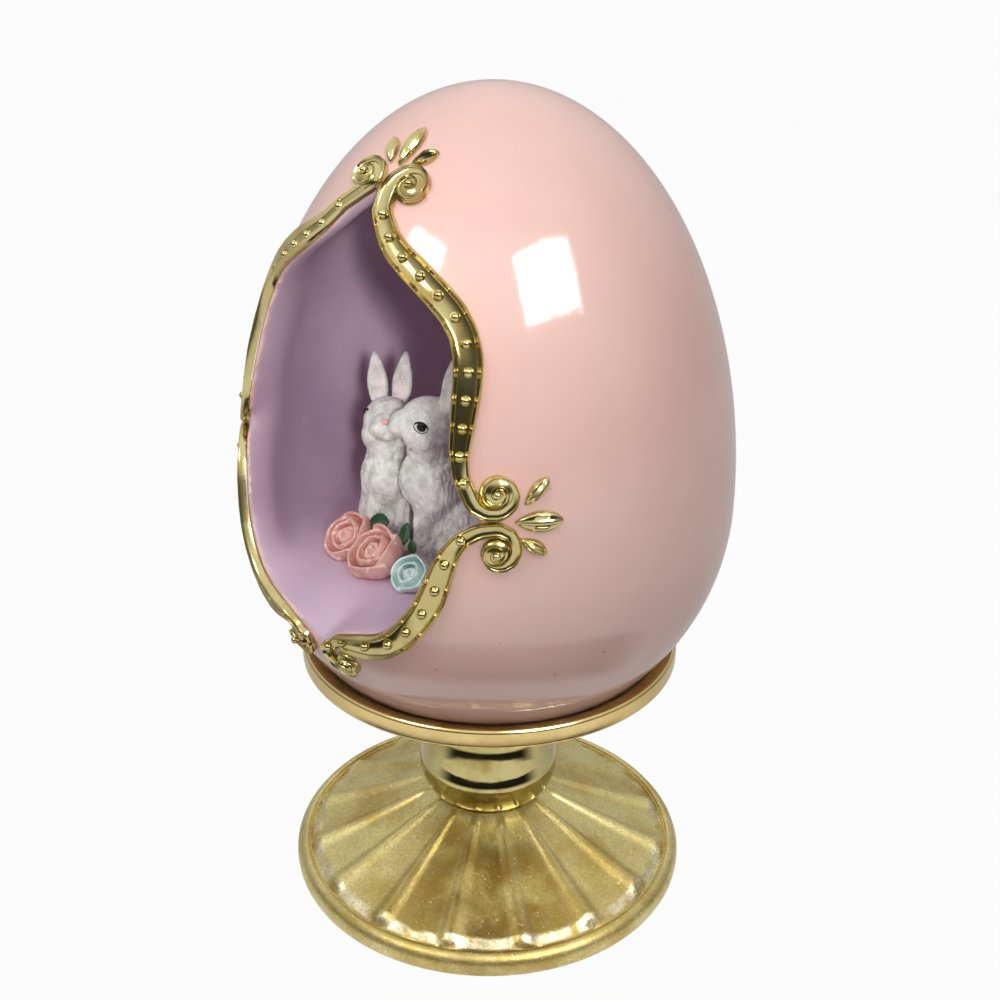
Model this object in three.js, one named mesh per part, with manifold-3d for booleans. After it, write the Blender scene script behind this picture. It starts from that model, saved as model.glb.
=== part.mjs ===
// An egg on a gilt stand. The egg is hollow, with a cusped window that shows two rabbits and three roses.
// Gilt mouldings and leaves frame the window, and the egg lifts out of the stand's cup.
// Millimetres, +Z up. The origin is the middle of the stand's underside, and the window faces -Y.
import * as THREE from "three";
import { mergeVertices } from "three/addons/utils/BufferGeometryUtils.js";
import Module from "manifold-3d";

// Clearance between pieces that touch
const GAP = 0.3;
// How far a cutter reaches past the face that it cuts
const OVERRUN = 1;

// Foot: a fluted cone on a rounded rim
const FOOT_RADIUS = 51.5;
const FOOT_HEIGHT = 20.2;
const FOOT_RIM_HEIGHT = 6;
const FOOT_RIM_WIDTH = 3.9;
const FOOT_RIM_EDGE = 0.9; // how far the rim draws in at the bottom
const FOOT_RIM_SHOULDER = 2.2; // how far in from the rim's side its top starts
const FOOT_GROOVE = 0.5; // depth of the groove between rim and panels
const CONE_BEND = 1.12; // over 1 the panels sag between rim and stem
const FLUTE_COUNT = 16;
const FLUTE_TURN = 10.25; // degrees from the front to a ridge
const RIDGE_HEIGHT = 0.9;
const RIDGE_MIDDLE = 0.8; // share of that height halfway up a panel
const RIDGE_END = 0.3; // share of it at the panel's top
const RIDGE_END_SETBACK = 2; // from the stem's foot
const FLUTE_BEVEL = 1.4;
const FELT_RADIUS = 44;
const FELT_THICKNESS = 1;

// Stem: a turned knop with a spigot below and a socket above
const STEM_HEIGHT = 22.2;
const STEM_FOOT_RADIUS = 14.2;
const STEM_KNOP_RADIUS = 18.2;
const STEM_KNOP_PLACE = 0.4; // share of the stem's height at which the knop is widest
const STEM_SHOULDER = 0.96; // share of the knop's radius that its lower shoulder has
const STEM_SHOULDER_PLACE = 0.2;
const STEM_NECK_RADIUS = 16.5;
const STEM_NECK_PLACE = 0.87;
const STEM_TOP_RADIUS = 16.9;
const SPIGOT_RADIUS = 9;
const SPIGOT_LENGTH = 4;

// Screw that pulls foot, stem and cup together
const SCREW_RADIUS = 2.2;
const SCREW_HEAD_RADIUS = 4.6;
const SCREW_HEAD_HEIGHT = 3;
const SCREW_HEAD_CHAMFER = 0.7;
const SCREW_SLOT_WIDTH = 1.2;
const SCREW_SLOT_DEPTH = 1.2;
const SCREW_BITE = 10.5; // how far it reaches into the cup's boss and floor

// Cup: a bowl that follows the egg, with a boss that drops into the stem
const CUP_HEIGHT = 24.1;
const CUP_BOSS_LENGTH = 5;
const CUP_WALL = 2.65; // of the bowl's side, measured outwards
const CUP_RIM_WIDTH = 2.2; // from the bowl's mouth out to the rim's side
const CUP_RIM_BAND = 3.7;
const CUP_RIM_LIP = 2.6; // how far the rim stands out past the bowl
const CUP_RIM_CHAMFER = 0.5;
const CUP_FLOOR = 7.7;
const CUP_CLEARANCE = 1.2; // between the egg's side and the bowl
// The cup's underside between stem and bowl: how far out from the stem's top, and height over the stem
const CUP_FLARE = [[0.8, 2.4], [3.1, 4.8], [7.6, 7.1]];
const CUP_SIDE_HEIGHTS = [10.4, 15.4]; // over the stem, where the outside of the bowl bends

// Egg: two half ellipses that share one largest radius, cut flat underneath
const EGG_RADIUS = 58;
const EGG_CROWN = 93.8; // from the largest radius up to the tip
const EGG_DEPTH = 59; // from the largest radius down to where the ellipse would close
const EGG_BASE_RADIUS = 20.4;
const EGG_WALL = 6;
const FLOOR_RISE = 42; // from the egg's underside up to the floor inside
const FLOOR_FILLET = 9;

// Window: inner edge of the mouldings on the right half, as longitude and latitude on the egg in degrees
const UPPER_EDGE = [
  [0, 53.6], [6.4, 48.6], [13.5, 43.3], [23.5, 38.8], [31.5, 34.9],
  [35, 30.7], [35.2, 24.7], [35.4, 17.8], [38.2, 13], [44.5, 10.2],
];
const LOWER_EDGE = [
  [44.5, 10.2], [38.5, 9.7], [34.2, 7.2], [30.4, 2], [26.1, -4.8],
  [20.3, -10.8], [13.2, -13.2], [6, -16.3], [0, -23.7],
];
const WINDOW_FADE = 16; // depth at which the window's points have run out into a plain round mouth
const MOUTH_HALF_WIDTH = 40;
const MOUTH_FLARE = 1.25; // how much wider than the window the mouth is at that depth
const MOUTH_RISE = 66; // from the egg's largest radius up to the top of the round mouth

// Mouldings: a band with a lip along each edge, beads between, and a scroll at each end
const BAND_WIDTH = 5.9;
const BAND_CHANNEL_HEIGHT = 1.1;
const BAND_LIP_HEIGHT = 2;
const BAND_LIP_WIDTH = 1.2;
const BAND_LIP_SLOPE = 0.3;
const BAND_SETBACK = 0.3; // from the window's edge
const BEAD_RADIUS = 0.95;
const FIRST_BEAD = 0.1; // share of the way along the window's edge
const LAST_BEAD = 0.93;
const UPPER_BEADS = 12;
const LOWER_BEADS = 9;
const SCROLL_HEIGHT = 1.6;
const SCROLL_RIDGE_HEIGHT = 2.4;
const SCROLL_RIDGE_WIDTH = 0.75;
const SCROLL_RIDGE_ROOT = 0.4;
const SCROLL_SLOPE = 0.2;
const SCROLL_TURNS = 1.4;
const SCROLL_EYE_RADIUS = 0.9;
// The top pair sits a little to the right of the window's point
const TOP_RIGHT_SCROLL = { longitude: 16, latitude: 54.1, radius: 4.3 };
const TOP_LEFT_SCROLL = { longitude: 5.4, latitude: 55.2, radius: 4.1 };
const SIDE_UPPER_SCROLL = { longitude: 45.3, latitude: 13.8, radius: 4.4 };
const SIDE_LOWER_SCROLL = { longitude: 45.2, latitude: 6.1, radius: 4.1 };
const BOTTOM_SCROLL = { longitude: 8.2, latitude: -22.8, radius: 3.1 };

// Leaves at the window's points: foot and tip as longitude and latitude, with width
const LEAF_HEIGHT = 1.7;
const LEAF_END = 0.35; // share of that height that the thin ends keep
const TOP_LEAVES = {
  middle: { foot: [6, 57.9], tip: [8.4, 66.4], width: 3.6 },
  right: { foot: [11.5, 58.3], tip: [21.6, 61.4], width: 2.5 },
  left: { foot: [1.5, 58.1], tip: [-5.4, 63.3], width: 2.5 },
};
const SIDE_LEAVES = {
  upper: { foot: [50.7, 12.2], tip: [55.6, 15.6], width: 2.7 },
  middle: { foot: [48.7, 10.1], tip: [58.6, 10.1], width: 3.8 },
  lower: { foot: [49.8, 8], tip: [55.2, 5.9], width: 2.7 },
};

// Figures: places on the floor are x to the right and y back from a line across it, behind the window
const SCENE_SETBACK = 30; // from the egg's front to that line

// Rabbits: place on the floor, the way each faces in degrees from the front, how far the head tips back,
// and how far the chest and head reach forwards and up
const RABBIT_LEFT = { x: -15.2, y: 9, facing: 44, nod: 26, reach: 0, rise: 0 };
const RABBIT_RIGHT = { x: 0.8, y: 12.4, facing: -46, nod: 14, reach: 3.5, rise: 3.2 };
const RABBIT_NECK = [0, -1.5, 27];
// Each lump of a rabbit that faces -Y: centre, half sizes, and its share of the reach and rise
const RABBIT_BODY = [
  { at: [0, 2.5, 8.6], size: [8.2, 8.8, 9.2], share: 0.1 },
  { at: [0, -0.8, 16.5], size: [6.4, 6.4, 11.5], share: 0.75 },
  { at: [3.3, -5.2, 8], size: [2.5, 3, 8.6], share: 0.25 },
  { at: [-3.3, -5.2, 8], size: [2.5, 3, 8.6], share: 0.25 },
  { at: [3.3, -7.2, 1.6], size: [2.5, 3.2, 2.2], share: 0 },
  { at: [-3.3, -7.2, 1.6], size: [2.5, 3.2, 2.2], share: 0 },
  { at: [6.4, 2.4, 6.4], size: [3.4, 6.2, 6], share: 0 },
  { at: [-6.4, 2.4, 6.4], size: [3.4, 6.2, 6], share: 0 },
  { at: [0, 10.8, 4], size: [3.4, 3.4, 3.4], share: 0 },
];
const RABBIT_HEAD = [
  { at: [0, -2.2, 30.6], size: [6, 7, 6.2] },
  { at: [0, -7.6, 28.9], size: [4, 3.8, 3.4] },
];
const RABBIT_EAR = { at: [3.3, 1.4, 42], size: [2.3, 1.4, 8], splay: 9 };

// Roses: place on the floor, radius, and how far the flower tips forward
const ROSE_TIP = 38;
const ROSE_PETALS = 5;
// Bud and petals as shares of the rose's radius: half sizes, and where each lies
const ROSE_RISE = 0.8;
const ROSE_BUD = { size: [0.62, 0.62, 0.72], rise: 0.1 };
const ROSE_PETAL = { size: [0.3, 0.62, 0.62], out: 0.6, drop: 0.1, lean: 18 };
const PINK_ROSE_LEFT = { x: -16.4, y: -4, radius: 5.9 };
const PINK_ROSE_RIGHT = { x: -4.2, y: -5.2, radius: 5.9 };
const BLUE_ROSE = { x: 7, y: -5.4, radius: 4.5 };

// Rose leaves: place, height above the floor, length, and the way each points in degrees
const ROSE_LEAF_WIDTH = 2.6;
const ROSE_LEAF_THICKNESS = 0.9;
const ROSE_LEAF_TILT = 50;
const ROSE_LEAF_LEFT = { x: -10.4, y: 0.8, z: 9.4, length: 4.6, turn: 20 };
const ROSE_LEAF_MIDDLE = { x: -1.4, y: 1.4, z: 6.2, length: 4.4, turn: 70 };
const ROSE_LEAF_RIGHT = { x: 4.4, y: 0.6, z: 4.6, length: 4, turn: 110 };

// Heights and places that follow from the stack of pieces
const STEM_BOTTOM = FOOT_HEIGHT + GAP;
const STEM_TOP = STEM_BOTTOM + STEM_HEIGHT;
const CUP_BOTTOM = STEM_TOP + GAP;
const CUP_TOP = CUP_BOTTOM + CUP_HEIGHT;
const EGG_BASE = CUP_BOTTOM + CUP_FLOOR + GAP;
const EGG_EQUATOR = EGG_BASE + EGG_DEPTH * Math.sqrt(1 - (EGG_BASE_RADIUS / EGG_RADIUS) ** 2);
const FLOOR = EGG_BASE + FLOOR_RISE;
const SCENE_LINE = SCENE_SETBACK - EGG_RADIUS;

// Finish of each kind of piece
const gilt = { color: 0xc9b36a, metalness: 1, roughness: 0.28 };
const satinGilt = { color: 0xb9a35a, metalness: 0.9, roughness: 0.5 };
const pinkGloss = { color: 0xecc4bb, metalness: 0, roughness: 0.2 };
const whiteGlitter = { color: 0xe4e0e2, metalness: 0, roughness: 0.6 };
const pinkPetal = { color: 0xeda9a2, metalness: 0, roughness: 0.35 };
const bluePetal = { color: 0x9fd3cc, metalness: 0, roughness: 0.35 };
const leafGreen = { color: 0x3f6b3a, metalness: 0, roughness: 0.5 };
const darkFelt = { color: 0x3a3a3a, metalness: 0, roughness: 0.95 };
const steel = { color: 0xb0b0b0, metalness: 1, roughness: 0.4 };

const wasm = await Module();
wasm.setup();
const radians = THREE.MathUtils.degToRad;

// A closed geometry as a solid that can be joined and cut
function solidOf(geometry) {
  const bare = geometry.clone();
  bare.deleteAttribute("normal");
  bare.deleteAttribute("uv");
  const merged = mergeVertices(bare, 1e-4);
  return new wasm.Manifold(
    new wasm.Mesh({
      numProp: 3,
      vertProperties: merged.attributes.position.array,
      triVerts: new Uint32Array(merged.index.array),
    }),
  );
}

// A solid as a geometry
function geometryOf(solid) {
  const mesh = solid.getMesh();
  const geometry = new THREE.BufferGeometry();
  geometry.setAttribute("position", new THREE.BufferAttribute(mesh.vertProperties, 3));
  geometry.setIndex(new THREE.BufferAttribute(mesh.triVerts, 1));
  geometry.computeVertexNormals();
  return geometry;
}

function joined(solids) {
  return solids.reduce((whole, next) => whole.add(next));
}

// A profile of [radius, height] pairs, listed upwards on the outside, turned about Z
function turned(profile, segments) {
  const points = profile.map(([radius, height]) => new THREE.Vector2(radius, height));
  return new THREE.LatheGeometry(points, segments).rotateX(Math.PI / 2);
}

// Points of a quarter arc from one [radius, height] to another
function arc([r0, z0], [r1, z1], steps) {
  return Array.from({ length: steps + 1 }, (_, i) => {
    const angle = (i / steps) * (Math.PI / 2);
    return [r0 + (r1 - r0) * Math.sin(angle), z0 + (z1 - z0) * (1 - Math.cos(angle))];
  });
}

function ball(at, size, grow = 0, across = 8, up = 5) {
  const geometry = new THREE.SphereGeometry(1, across, up).rotateX(Math.PI / 2);
  geometry.scale(...size.map((half) => half + grow));
  return geometry.translate(...at);
}

// The egg's surface: half height of the ellipse on this side of the largest radius
function halfHeight(latitude) {
  return latitude >= 0 ? EGG_CROWN : EGG_DEPTH;
}

// Point on the egg, raised along the surface's normal
function onEgg(longitude, latitude, height = 0) {
  const up = radians(latitude);
  const round = radians(longitude);
  const tall = halfHeight(latitude);
  const normal = new THREE.Vector2(tall * Math.cos(up), EGG_RADIUS * Math.sin(up)).normalize();
  const radius = EGG_RADIUS * Math.cos(up) + height * normal.x;
  const z = EGG_EQUATOR + tall * Math.sin(up) + height * normal.y;
  return new THREE.Vector3(radius * Math.sin(round), -radius * Math.cos(round), z);
}

// Millimetres on the egg for one degree of longitude and of latitude
function degreeSizes(latitude) {
  const up = radians(latitude);
  const round = EGG_RADIUS * Math.cos(up);
  const along = Math.hypot(EGG_RADIUS * Math.sin(up), halfHeight(latitude) * Math.cos(up));
  return [radians(round), radians(along)];
}

// Point a and b millimetres east and north of a place on the egg
function besideOnEgg([longitude, latitude], a, b, height) {
  const [, along] = degreeSizes(latitude);
  const north = latitude + b / along;
  const [round] = degreeSizes(north);
  return onEgg(longitude + a / round, north, height);
}

// Lays a small geometry on the egg: x east, y north and z outwards from a place
function laidOnEgg(geometry, place) {
  const position = geometry.getAttribute("position");
  for (let i = 0; i < position.count; i++) {
    const p = besideOnEgg(place, position.getX(i), position.getY(i), position.getZ(i));
    position.setXYZ(i, p.x, p.y, p.z);
  }
  return geometry;
}

// Closed geometry through rings of equal length, with capped ends
function lofted(rings, capTriangles) {
  const count = rings[0].length;
  const positions = rings.flat().flatMap((p) => [p.x, p.y, p.z]);
  const index = [];
  for (let r = 0; r + 1 < rings.length; r++) {
    for (let i = 0; i < count; i++) {
      const j = (i + 1) % count;
      const here = r * count;
      const next = here + count;
      index.push(here + i, here + j, next + j, here + i, next + j, next + i);
    }
  }
  const last = (rings.length - 1) * count;
  for (const [a, b, c] of capTriangles) {
    index.push(a, c, b, last + a, last + b, last + c);
  }
  const geometry = new THREE.BufferGeometry();
  geometry.setAttribute("position", new THREE.Float32BufferAttribute(positions, 3));
  return geometry.setIndex(index);
}

const group = new THREE.Group();

function addPiece(name, geometry, finish) {
  const mesh = new THREE.Mesh(geometry, new THREE.MeshStandardMaterial(finish));
  mesh.name = name;
  group.add(mesh);
  return mesh;
}

// A piece on the right and its mirror image on the left
function addPair(name, geometry, finish) {
  addPiece(name.replace("SIDE", "right"), geometry, finish);
  addPiece(name.replace("SIDE", "left"), geometry, finish).scale.x = -1;
}

// Foot
const panelRadius = FOOT_RADIUS - FOOT_RIM_WIDTH;

// Height of the fluted cone, before its ridges, from the rim up to the stem
function coneHeight(radius) {
  const share = (panelRadius - radius) / (panelRadius - STEM_FOOT_RADIUS);
  return FOOT_RIM_HEIGHT + (FOOT_HEIGHT - FOOT_RIM_HEIGHT) * share ** CONE_BEND;
}

// Places across one panel, from ridge to ridge, and the share of the ridge's height at each
const panelSteps = [
  { place: 0, rise: 1 },
  { place: 0.16, rise: 0.15 },
  { place: 0.5, rise: -0.15 },
  { place: 0.84, rise: 0.15 },
];

function footRing(radius, height, ridge = 0) {
  const flutes = Array.from({ length: FLUTE_COUNT }, (_, flute) => flute);
  return flutes.flatMap((flute) =>
    panelSteps.map(({ place, rise }) => {
      const angle = radians(FLUTE_TURN + ((flute + place) * 360) / FLUTE_COUNT);
      return new THREE.Vector3(radius * Math.sin(angle), -radius * Math.cos(angle), height + rise * ridge);
    }),
  );
}

// The foot as a stack of rings: underside, rounded rim, groove, then panels that rise to the stem
function footBlank() {
  const rim = [
    [SPIGOT_RADIUS / 2, 0],
    [FOOT_RADIUS - FOOT_RIM_EDGE, 0],
    ...arc([FOOT_RADIUS - FOOT_RIM_EDGE / 2, FOOT_RIM_EDGE / 2], [FOOT_RADIUS, FOOT_RIM_HEIGHT / 2], 2),
    [FOOT_RADIUS - FOOT_RIM_SHOULDER / 4, FOOT_RIM_HEIGHT - FOOT_RIM_SHOULDER / 2],
    [FOOT_RADIUS - FOOT_RIM_SHOULDER, FOOT_RIM_HEIGHT],
    [panelRadius, FOOT_RIM_HEIGHT - FOOT_GROOVE],
  ];
  const bevelled = panelRadius - FLUTE_BEVEL;
  const middle = (bevelled + STEM_FOOT_RADIUS) / 2;
  const panelTop = STEM_FOOT_RADIUS + RIDGE_END_SETBACK;
  const rings = [
    ...rim.map(([radius, height]) => footRing(radius, height)),
    footRing(bevelled, coneHeight(bevelled), RIDGE_HEIGHT),
    footRing(middle, coneHeight(middle), RIDGE_HEIGHT * RIDGE_MIDDLE),
    footRing(panelTop, coneHeight(panelTop), RIDGE_HEIGHT * RIDGE_END),
    footRing(STEM_FOOT_RADIUS, FOOT_HEIGHT),
    footRing(SPIGOT_RADIUS / 2, FOOT_HEIGHT),
  ];
  const fan = Array.from({ length: rings[0].length - 2 }, (_, i) => [0, i + 1, i + 2]);
  return lofted(rings, fan);
}

const screwHole = SCREW_RADIUS + GAP;
const feltRecess = FELT_THICKNESS + GAP;
const headRecess = feltRecess + SCREW_HEAD_HEIGHT + 2 * GAP;
const footBore = turned(
  [
    [0, -OVERRUN],
    [FELT_RADIUS + GAP, -OVERRUN],
    [FELT_RADIUS + GAP, feltRecess],
    [SCREW_HEAD_RADIUS + GAP, feltRecess],
    [SCREW_HEAD_RADIUS + GAP, headRecess],
    [screwHole, headRecess],
    [screwHole, FOOT_HEIGHT - SPIGOT_LENGTH - GAP],
    [SPIGOT_RADIUS + GAP, FOOT_HEIGHT - SPIGOT_LENGTH - GAP],
    [SPIGOT_RADIUS + GAP, FOOT_HEIGHT + OVERRUN],
    [0, FOOT_HEIGHT + OVERRUN],
  ],
  32,
);
addPiece("foot", geometryOf(solidOf(footBlank()).subtract(solidOf(footBore))), satinGilt);

addPiece(
  "base_felt",
  turned([[0, 0], [FELT_RADIUS, 0], [FELT_RADIUS, FELT_THICKNESS], [0, FELT_THICKNESS]], 40),
  darkFelt,
);

// Stem: foot, knop, neck and top flange follow one smooth curve of radius against height
const stemCurve = new THREE.SplineCurve([
  new THREE.Vector2(STEM_FOOT_RADIUS, STEM_BOTTOM),
  new THREE.Vector2(STEM_KNOP_RADIUS * STEM_SHOULDER, STEM_BOTTOM + STEM_HEIGHT * STEM_SHOULDER_PLACE),
  new THREE.Vector2(STEM_KNOP_RADIUS, STEM_BOTTOM + STEM_HEIGHT * STEM_KNOP_PLACE),
  new THREE.Vector2(STEM_NECK_RADIUS, STEM_BOTTOM + STEM_HEIGHT * STEM_NECK_PLACE),
  new THREE.Vector2(STEM_TOP_RADIUS, STEM_TOP),
]);
const stemProfile = [
  [screwHole, STEM_BOTTOM - SPIGOT_LENGTH],
  [SPIGOT_RADIUS, STEM_BOTTOM - SPIGOT_LENGTH],
  [SPIGOT_RADIUS, STEM_BOTTOM],
  ...stemCurve.getPoints(9).map((p) => [p.x, p.y]),
  [SPIGOT_RADIUS + GAP, STEM_TOP],
  [SPIGOT_RADIUS + GAP, STEM_TOP - CUP_BOSS_LENGTH],
  [screwHole, STEM_TOP - CUP_BOSS_LENGTH],
  [screwHole, STEM_BOTTOM - SPIGOT_LENGTH],
];
addPiece("stem", turned(stemProfile, 28), gilt);

// Screw
const screwHoleTop = CUP_BOTTOM - CUP_BOSS_LENGTH + SCREW_BITE + GAP;
const screwTop = screwHoleTop - GAP;
const headTop = headRecess - GAP;
const screwBlank = turned(
  [
    [0, headTop - SCREW_HEAD_HEIGHT],
    [SCREW_HEAD_RADIUS - SCREW_HEAD_CHAMFER, headTop - SCREW_HEAD_HEIGHT],
    [SCREW_HEAD_RADIUS, headTop - SCREW_HEAD_HEIGHT + SCREW_HEAD_CHAMFER],
    [SCREW_HEAD_RADIUS, headTop],
    [SCREW_RADIUS, headTop],
    [SCREW_RADIUS, screwTop - SCREW_RADIUS / 2],
    [SCREW_RADIUS / 2, screwTop],
    [0, screwTop],
  ],
  20,
);
const slotCutter = new THREE.BoxGeometry(3 * SCREW_HEAD_RADIUS, SCREW_SLOT_WIDTH, 2 * SCREW_SLOT_DEPTH);
slotCutter.translate(0, 0, headTop - SCREW_HEAD_HEIGHT);
addPiece("stand_screw", geometryOf(solidOf(screwBlank).subtract(solidOf(slotCutter))), steel);

// Cup
const bowlRadius = EGG_RADIUS + CUP_CLEARANCE;
const bowlDepth = EGG_DEPTH + CUP_CLEARANCE;
const seat = CUP_BOTTOM + CUP_FLOOR;

function bowlInside(height) {
  return bowlRadius * Math.sqrt(1 - ((EGG_EQUATOR - height) / bowlDepth) ** 2);
}

// The cup's outside is turned to whole tenths of a millimetre
function toTenths(radius) {
  return Math.round(radius * 10) / 10;
}

const rimBottom = CUP_TOP - CUP_RIM_BAND;
const rimRadius = toTenths(bowlInside(CUP_TOP) + CUP_RIM_WIDTH);
const bowlEdge = rimRadius - CUP_RIM_LIP;
const bowlSide = CUP_SIDE_HEIGHTS.map((rise) => {
  const height = CUP_BOTTOM + rise;
  return [toTenths(bowlInside(height) + CUP_WALL), height];
});
const bowlSteps = 4;
const insideProfile = Array.from({ length: bowlSteps + 1 }, (_, i) => {
  const height = CUP_TOP - (CUP_TOP - seat) * Math.sin((i / bowlSteps) * (Math.PI / 2));
  return [bowlInside(height), height];
});
const cupProfile = [
  [0, screwHoleTop],
  [screwHole, screwHoleTop],
  [screwHole, CUP_BOTTOM - CUP_BOSS_LENGTH],
  [SPIGOT_RADIUS, CUP_BOTTOM - CUP_BOSS_LENGTH],
  [SPIGOT_RADIUS, CUP_BOTTOM],
  [STEM_TOP_RADIUS, CUP_BOTTOM],
  ...CUP_FLARE.map(([out, rise]) => [STEM_TOP_RADIUS + out, CUP_BOTTOM + rise]),
  ...bowlSide,
  [bowlEdge, rimBottom - CUP_RIM_CHAMFER],
  [rimRadius - CUP_RIM_CHAMFER, rimBottom],
  [rimRadius, rimBottom + CUP_RIM_CHAMFER],
  [rimRadius, CUP_TOP - CUP_RIM_CHAMFER],
  [rimRadius - CUP_RIM_CHAMFER, CUP_TOP],
  ...insideProfile,
  [0, seat],
];
addPiece("cup", turned(cupProfile, 44), gilt);

// Egg shell: outside, less the hollow, less the window's mouth
function eggProfile(shrink, fromLatitude, steps) {
  return Array.from({ length: steps + 1 }, (_, i) => {
    const latitude = fromLatitude + ((90 - fromLatitude) * i) / steps;
    const up = radians(latitude);
    const tall = halfHeight(latitude) - shrink;
    return [(EGG_RADIUS - shrink) * Math.cos(up), EGG_EQUATOR + tall * Math.sin(up)];
  });
}

function eggOutside() {
  const baseLatitude = -THREE.MathUtils.radToDeg(Math.acos(EGG_BASE_RADIUS / EGG_RADIUS));
  return turned([[0, EGG_BASE], ...eggProfile(0, baseLatitude, 18)], 48);
}

function eggHollow() {
  const innerDepth = EGG_DEPTH - EGG_WALL;
  const filletTop = FLOOR + FLOOR_FILLET;
  const wallLatitude = -THREE.MathUtils.radToDeg(Math.asin((EGG_EQUATOR - filletTop) / innerDepth));
  const wall = eggProfile(EGG_WALL, wallLatitude, 11);
  const [wallRadius] = wall[0];
  const fillet = arc([wallRadius - FLOOR_FILLET, FLOOR], [wallRadius, filletTop], 4).slice(0, -1);
  return turned([[0, FLOOR], ...fillet, ...wall], 32);
}

const EDGE_STEPS = 18;
const upperCurve = new THREE.SplineCurve(UPPER_EDGE.map((p) => new THREE.Vector2(...p)));
const lowerCurve = new THREE.SplineCurve(LOWER_EDGE.map((p) => new THREE.Vector2(...p)));

// The window's whole edge, from the top point round by the right
function windowEdge() {
  const right = [...upperCurve.getPoints(EDGE_STEPS), ...lowerCurve.getPoints(EDGE_STEPS).slice(1)];
  const left = right.slice(1, -1).reverse().map((p) => new THREE.Vector2(-p.x, p.y));
  return [...right, ...left];
}

// Keeps a value within a limit, with little change well inside it
function limited(value, limit) {
  const firmness = 16;
  return value / (1 + Math.abs(value / limit) ** firmness) ** (1 / firmness);
}

function windowMouth() {
  const edge = windowEdge().map((p) => onEgg(p.x, p.y));
  const outer = edge.map((p) => p.clone().setY(-EGG_RADIUS - EGG_WALL));
  const mouthTop = EGG_EQUATOR + MOUTH_RISE;
  const middle = (mouthTop + FLOOR) / 2;
  const inner = edge.map((p) => {
    const tall = limited(p.z - middle, (mouthTop - FLOOR) / 2);
    const wide = limited(MOUTH_FLARE * p.x, MOUTH_HALF_WIDTH);
    return new THREE.Vector3(wide, p.y + WINDOW_FADE, middle + tall);
  });
  const flat = edge.map((p) => new THREE.Vector2(p.z, p.x));
  return lofted([outer, edge, inner], THREE.ShapeUtils.triangulateShape(flat, []));
}

const shell = solidOf(eggOutside()).subtract(solidOf(eggHollow())).subtract(solidOf(windowMouth()));
addPiece("egg_shell", geometryOf(shell), pinkGloss);

// Mouldings
const bandSection = [
  [0, GAP],
  [BAND_WIDTH, GAP],
  [BAND_WIDTH, BAND_LIP_HEIGHT - BAND_LIP_SLOPE],
  [BAND_WIDTH - BAND_LIP_WIDTH / 2, BAND_LIP_HEIGHT],
  [BAND_WIDTH - BAND_LIP_WIDTH, BAND_CHANNEL_HEIGHT],
  [BAND_LIP_WIDTH, BAND_CHANNEL_HEIGHT],
  [BAND_LIP_WIDTH / 2, BAND_LIP_HEIGHT],
  [0, BAND_LIP_HEIGHT - BAND_LIP_SLOPE],
];
const bandSteps = 18;
const bandEnds = 0.012; // share of the curve left open at each end, so that mouldings don't meet

// A place along a curve on the egg and the direction away from the window there
function alongCurve(curve, t) {
  const share = bandEnds + t * (1 - 2 * bandEnds);
  const place = curve.getPoint(share);
  const tangent = curve.getTangent(share);
  const [round, along] = degreeSizes(place.y);
  const away = new THREE.Vector2(-tangent.y * along, tangent.x * round).normalize();
  return { place: [place.x, place.y], away };
}

function band(curve) {
  const rings = Array.from({ length: bandSteps + 1 }, (_, i) => {
    const { place, away } = alongCurve(curve, i / bandSteps);
    return bandSection.map(([across, height]) => {
      const out = BAND_SETBACK + across;
      return besideOnEgg(place, away.x * out, away.y * out, height);
    });
  });
  const flat = bandSection.map((p) => new THREE.Vector2(...p));
  return lofted(rings, THREE.ShapeUtils.triangulateShape(flat, []));
}

function beads(curve, count) {
  return Array.from({ length: count }, (_, i) => {
    const share = FIRST_BEAD + ((LAST_BEAD - FIRST_BEAD) * i) / (count - 1);
    const { place, away } = alongCurve(curve, share);
    const out = BAND_SETBACK + BAND_WIDTH / 2;
    const bead = ball([away.x * out, away.y * out, BAND_CHANNEL_HEIGHT], Array(3).fill(BEAD_RADIUS), 0, 5, 3);
    return laidOnEgg(bead, place);
  });
}

// A scroll: a low disc with a spiral ridge and an eye; hand 1 winds inwards clockwise
function scroll({ longitude, latitude, radius }, start, hand) {
  const place = [longitude, latitude];
  const disc = new THREE.CylinderGeometry(radius - SCROLL_SLOPE, radius, SCROLL_HEIGHT - GAP, 12);
  disc.rotateX(Math.PI / 2);
  disc.translate(0, 0, (SCROLL_HEIGHT + GAP) / 2);
  const eyeHeight = SCROLL_RIDGE_HEIGHT - SCROLL_HEIGHT;
  const eye = ball([0, 0, SCROLL_HEIGHT], [SCROLL_EYE_RADIUS, SCROLL_EYE_RADIUS, eyeHeight], 0, 6, 4);
  const steps = 11;
  const edge = (offset) =>
    Array.from({ length: steps + 1 }, (_, i) => {
      const t = i / steps;
      const angle = radians(start) - hand * t * SCROLL_TURNS * 2 * Math.PI;
      const inwards = t * (radius - SCROLL_EYE_RADIUS - SCROLL_RIDGE_WIDTH);
      const reach = radius - SCROLL_SLOPE - inwards - offset;
      return new THREE.Vector2(reach * Math.cos(angle), reach * Math.sin(angle));
    });
  const outline = [...edge(0), ...edge(SCROLL_RIDGE_WIDTH).reverse()];
  const depth = SCROLL_RIDGE_HEIGHT - SCROLL_HEIGHT + SCROLL_RIDGE_ROOT;
  const ridge = new THREE.ExtrudeGeometry(new THREE.Shape(outline), { depth, bevelEnabled: false });
  ridge.translate(0, 0, SCROLL_HEIGHT - SCROLL_RIDGE_ROOT);
  return [disc, eye, ridge].map((piece) => laidOnEgg(piece, place));
}

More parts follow.
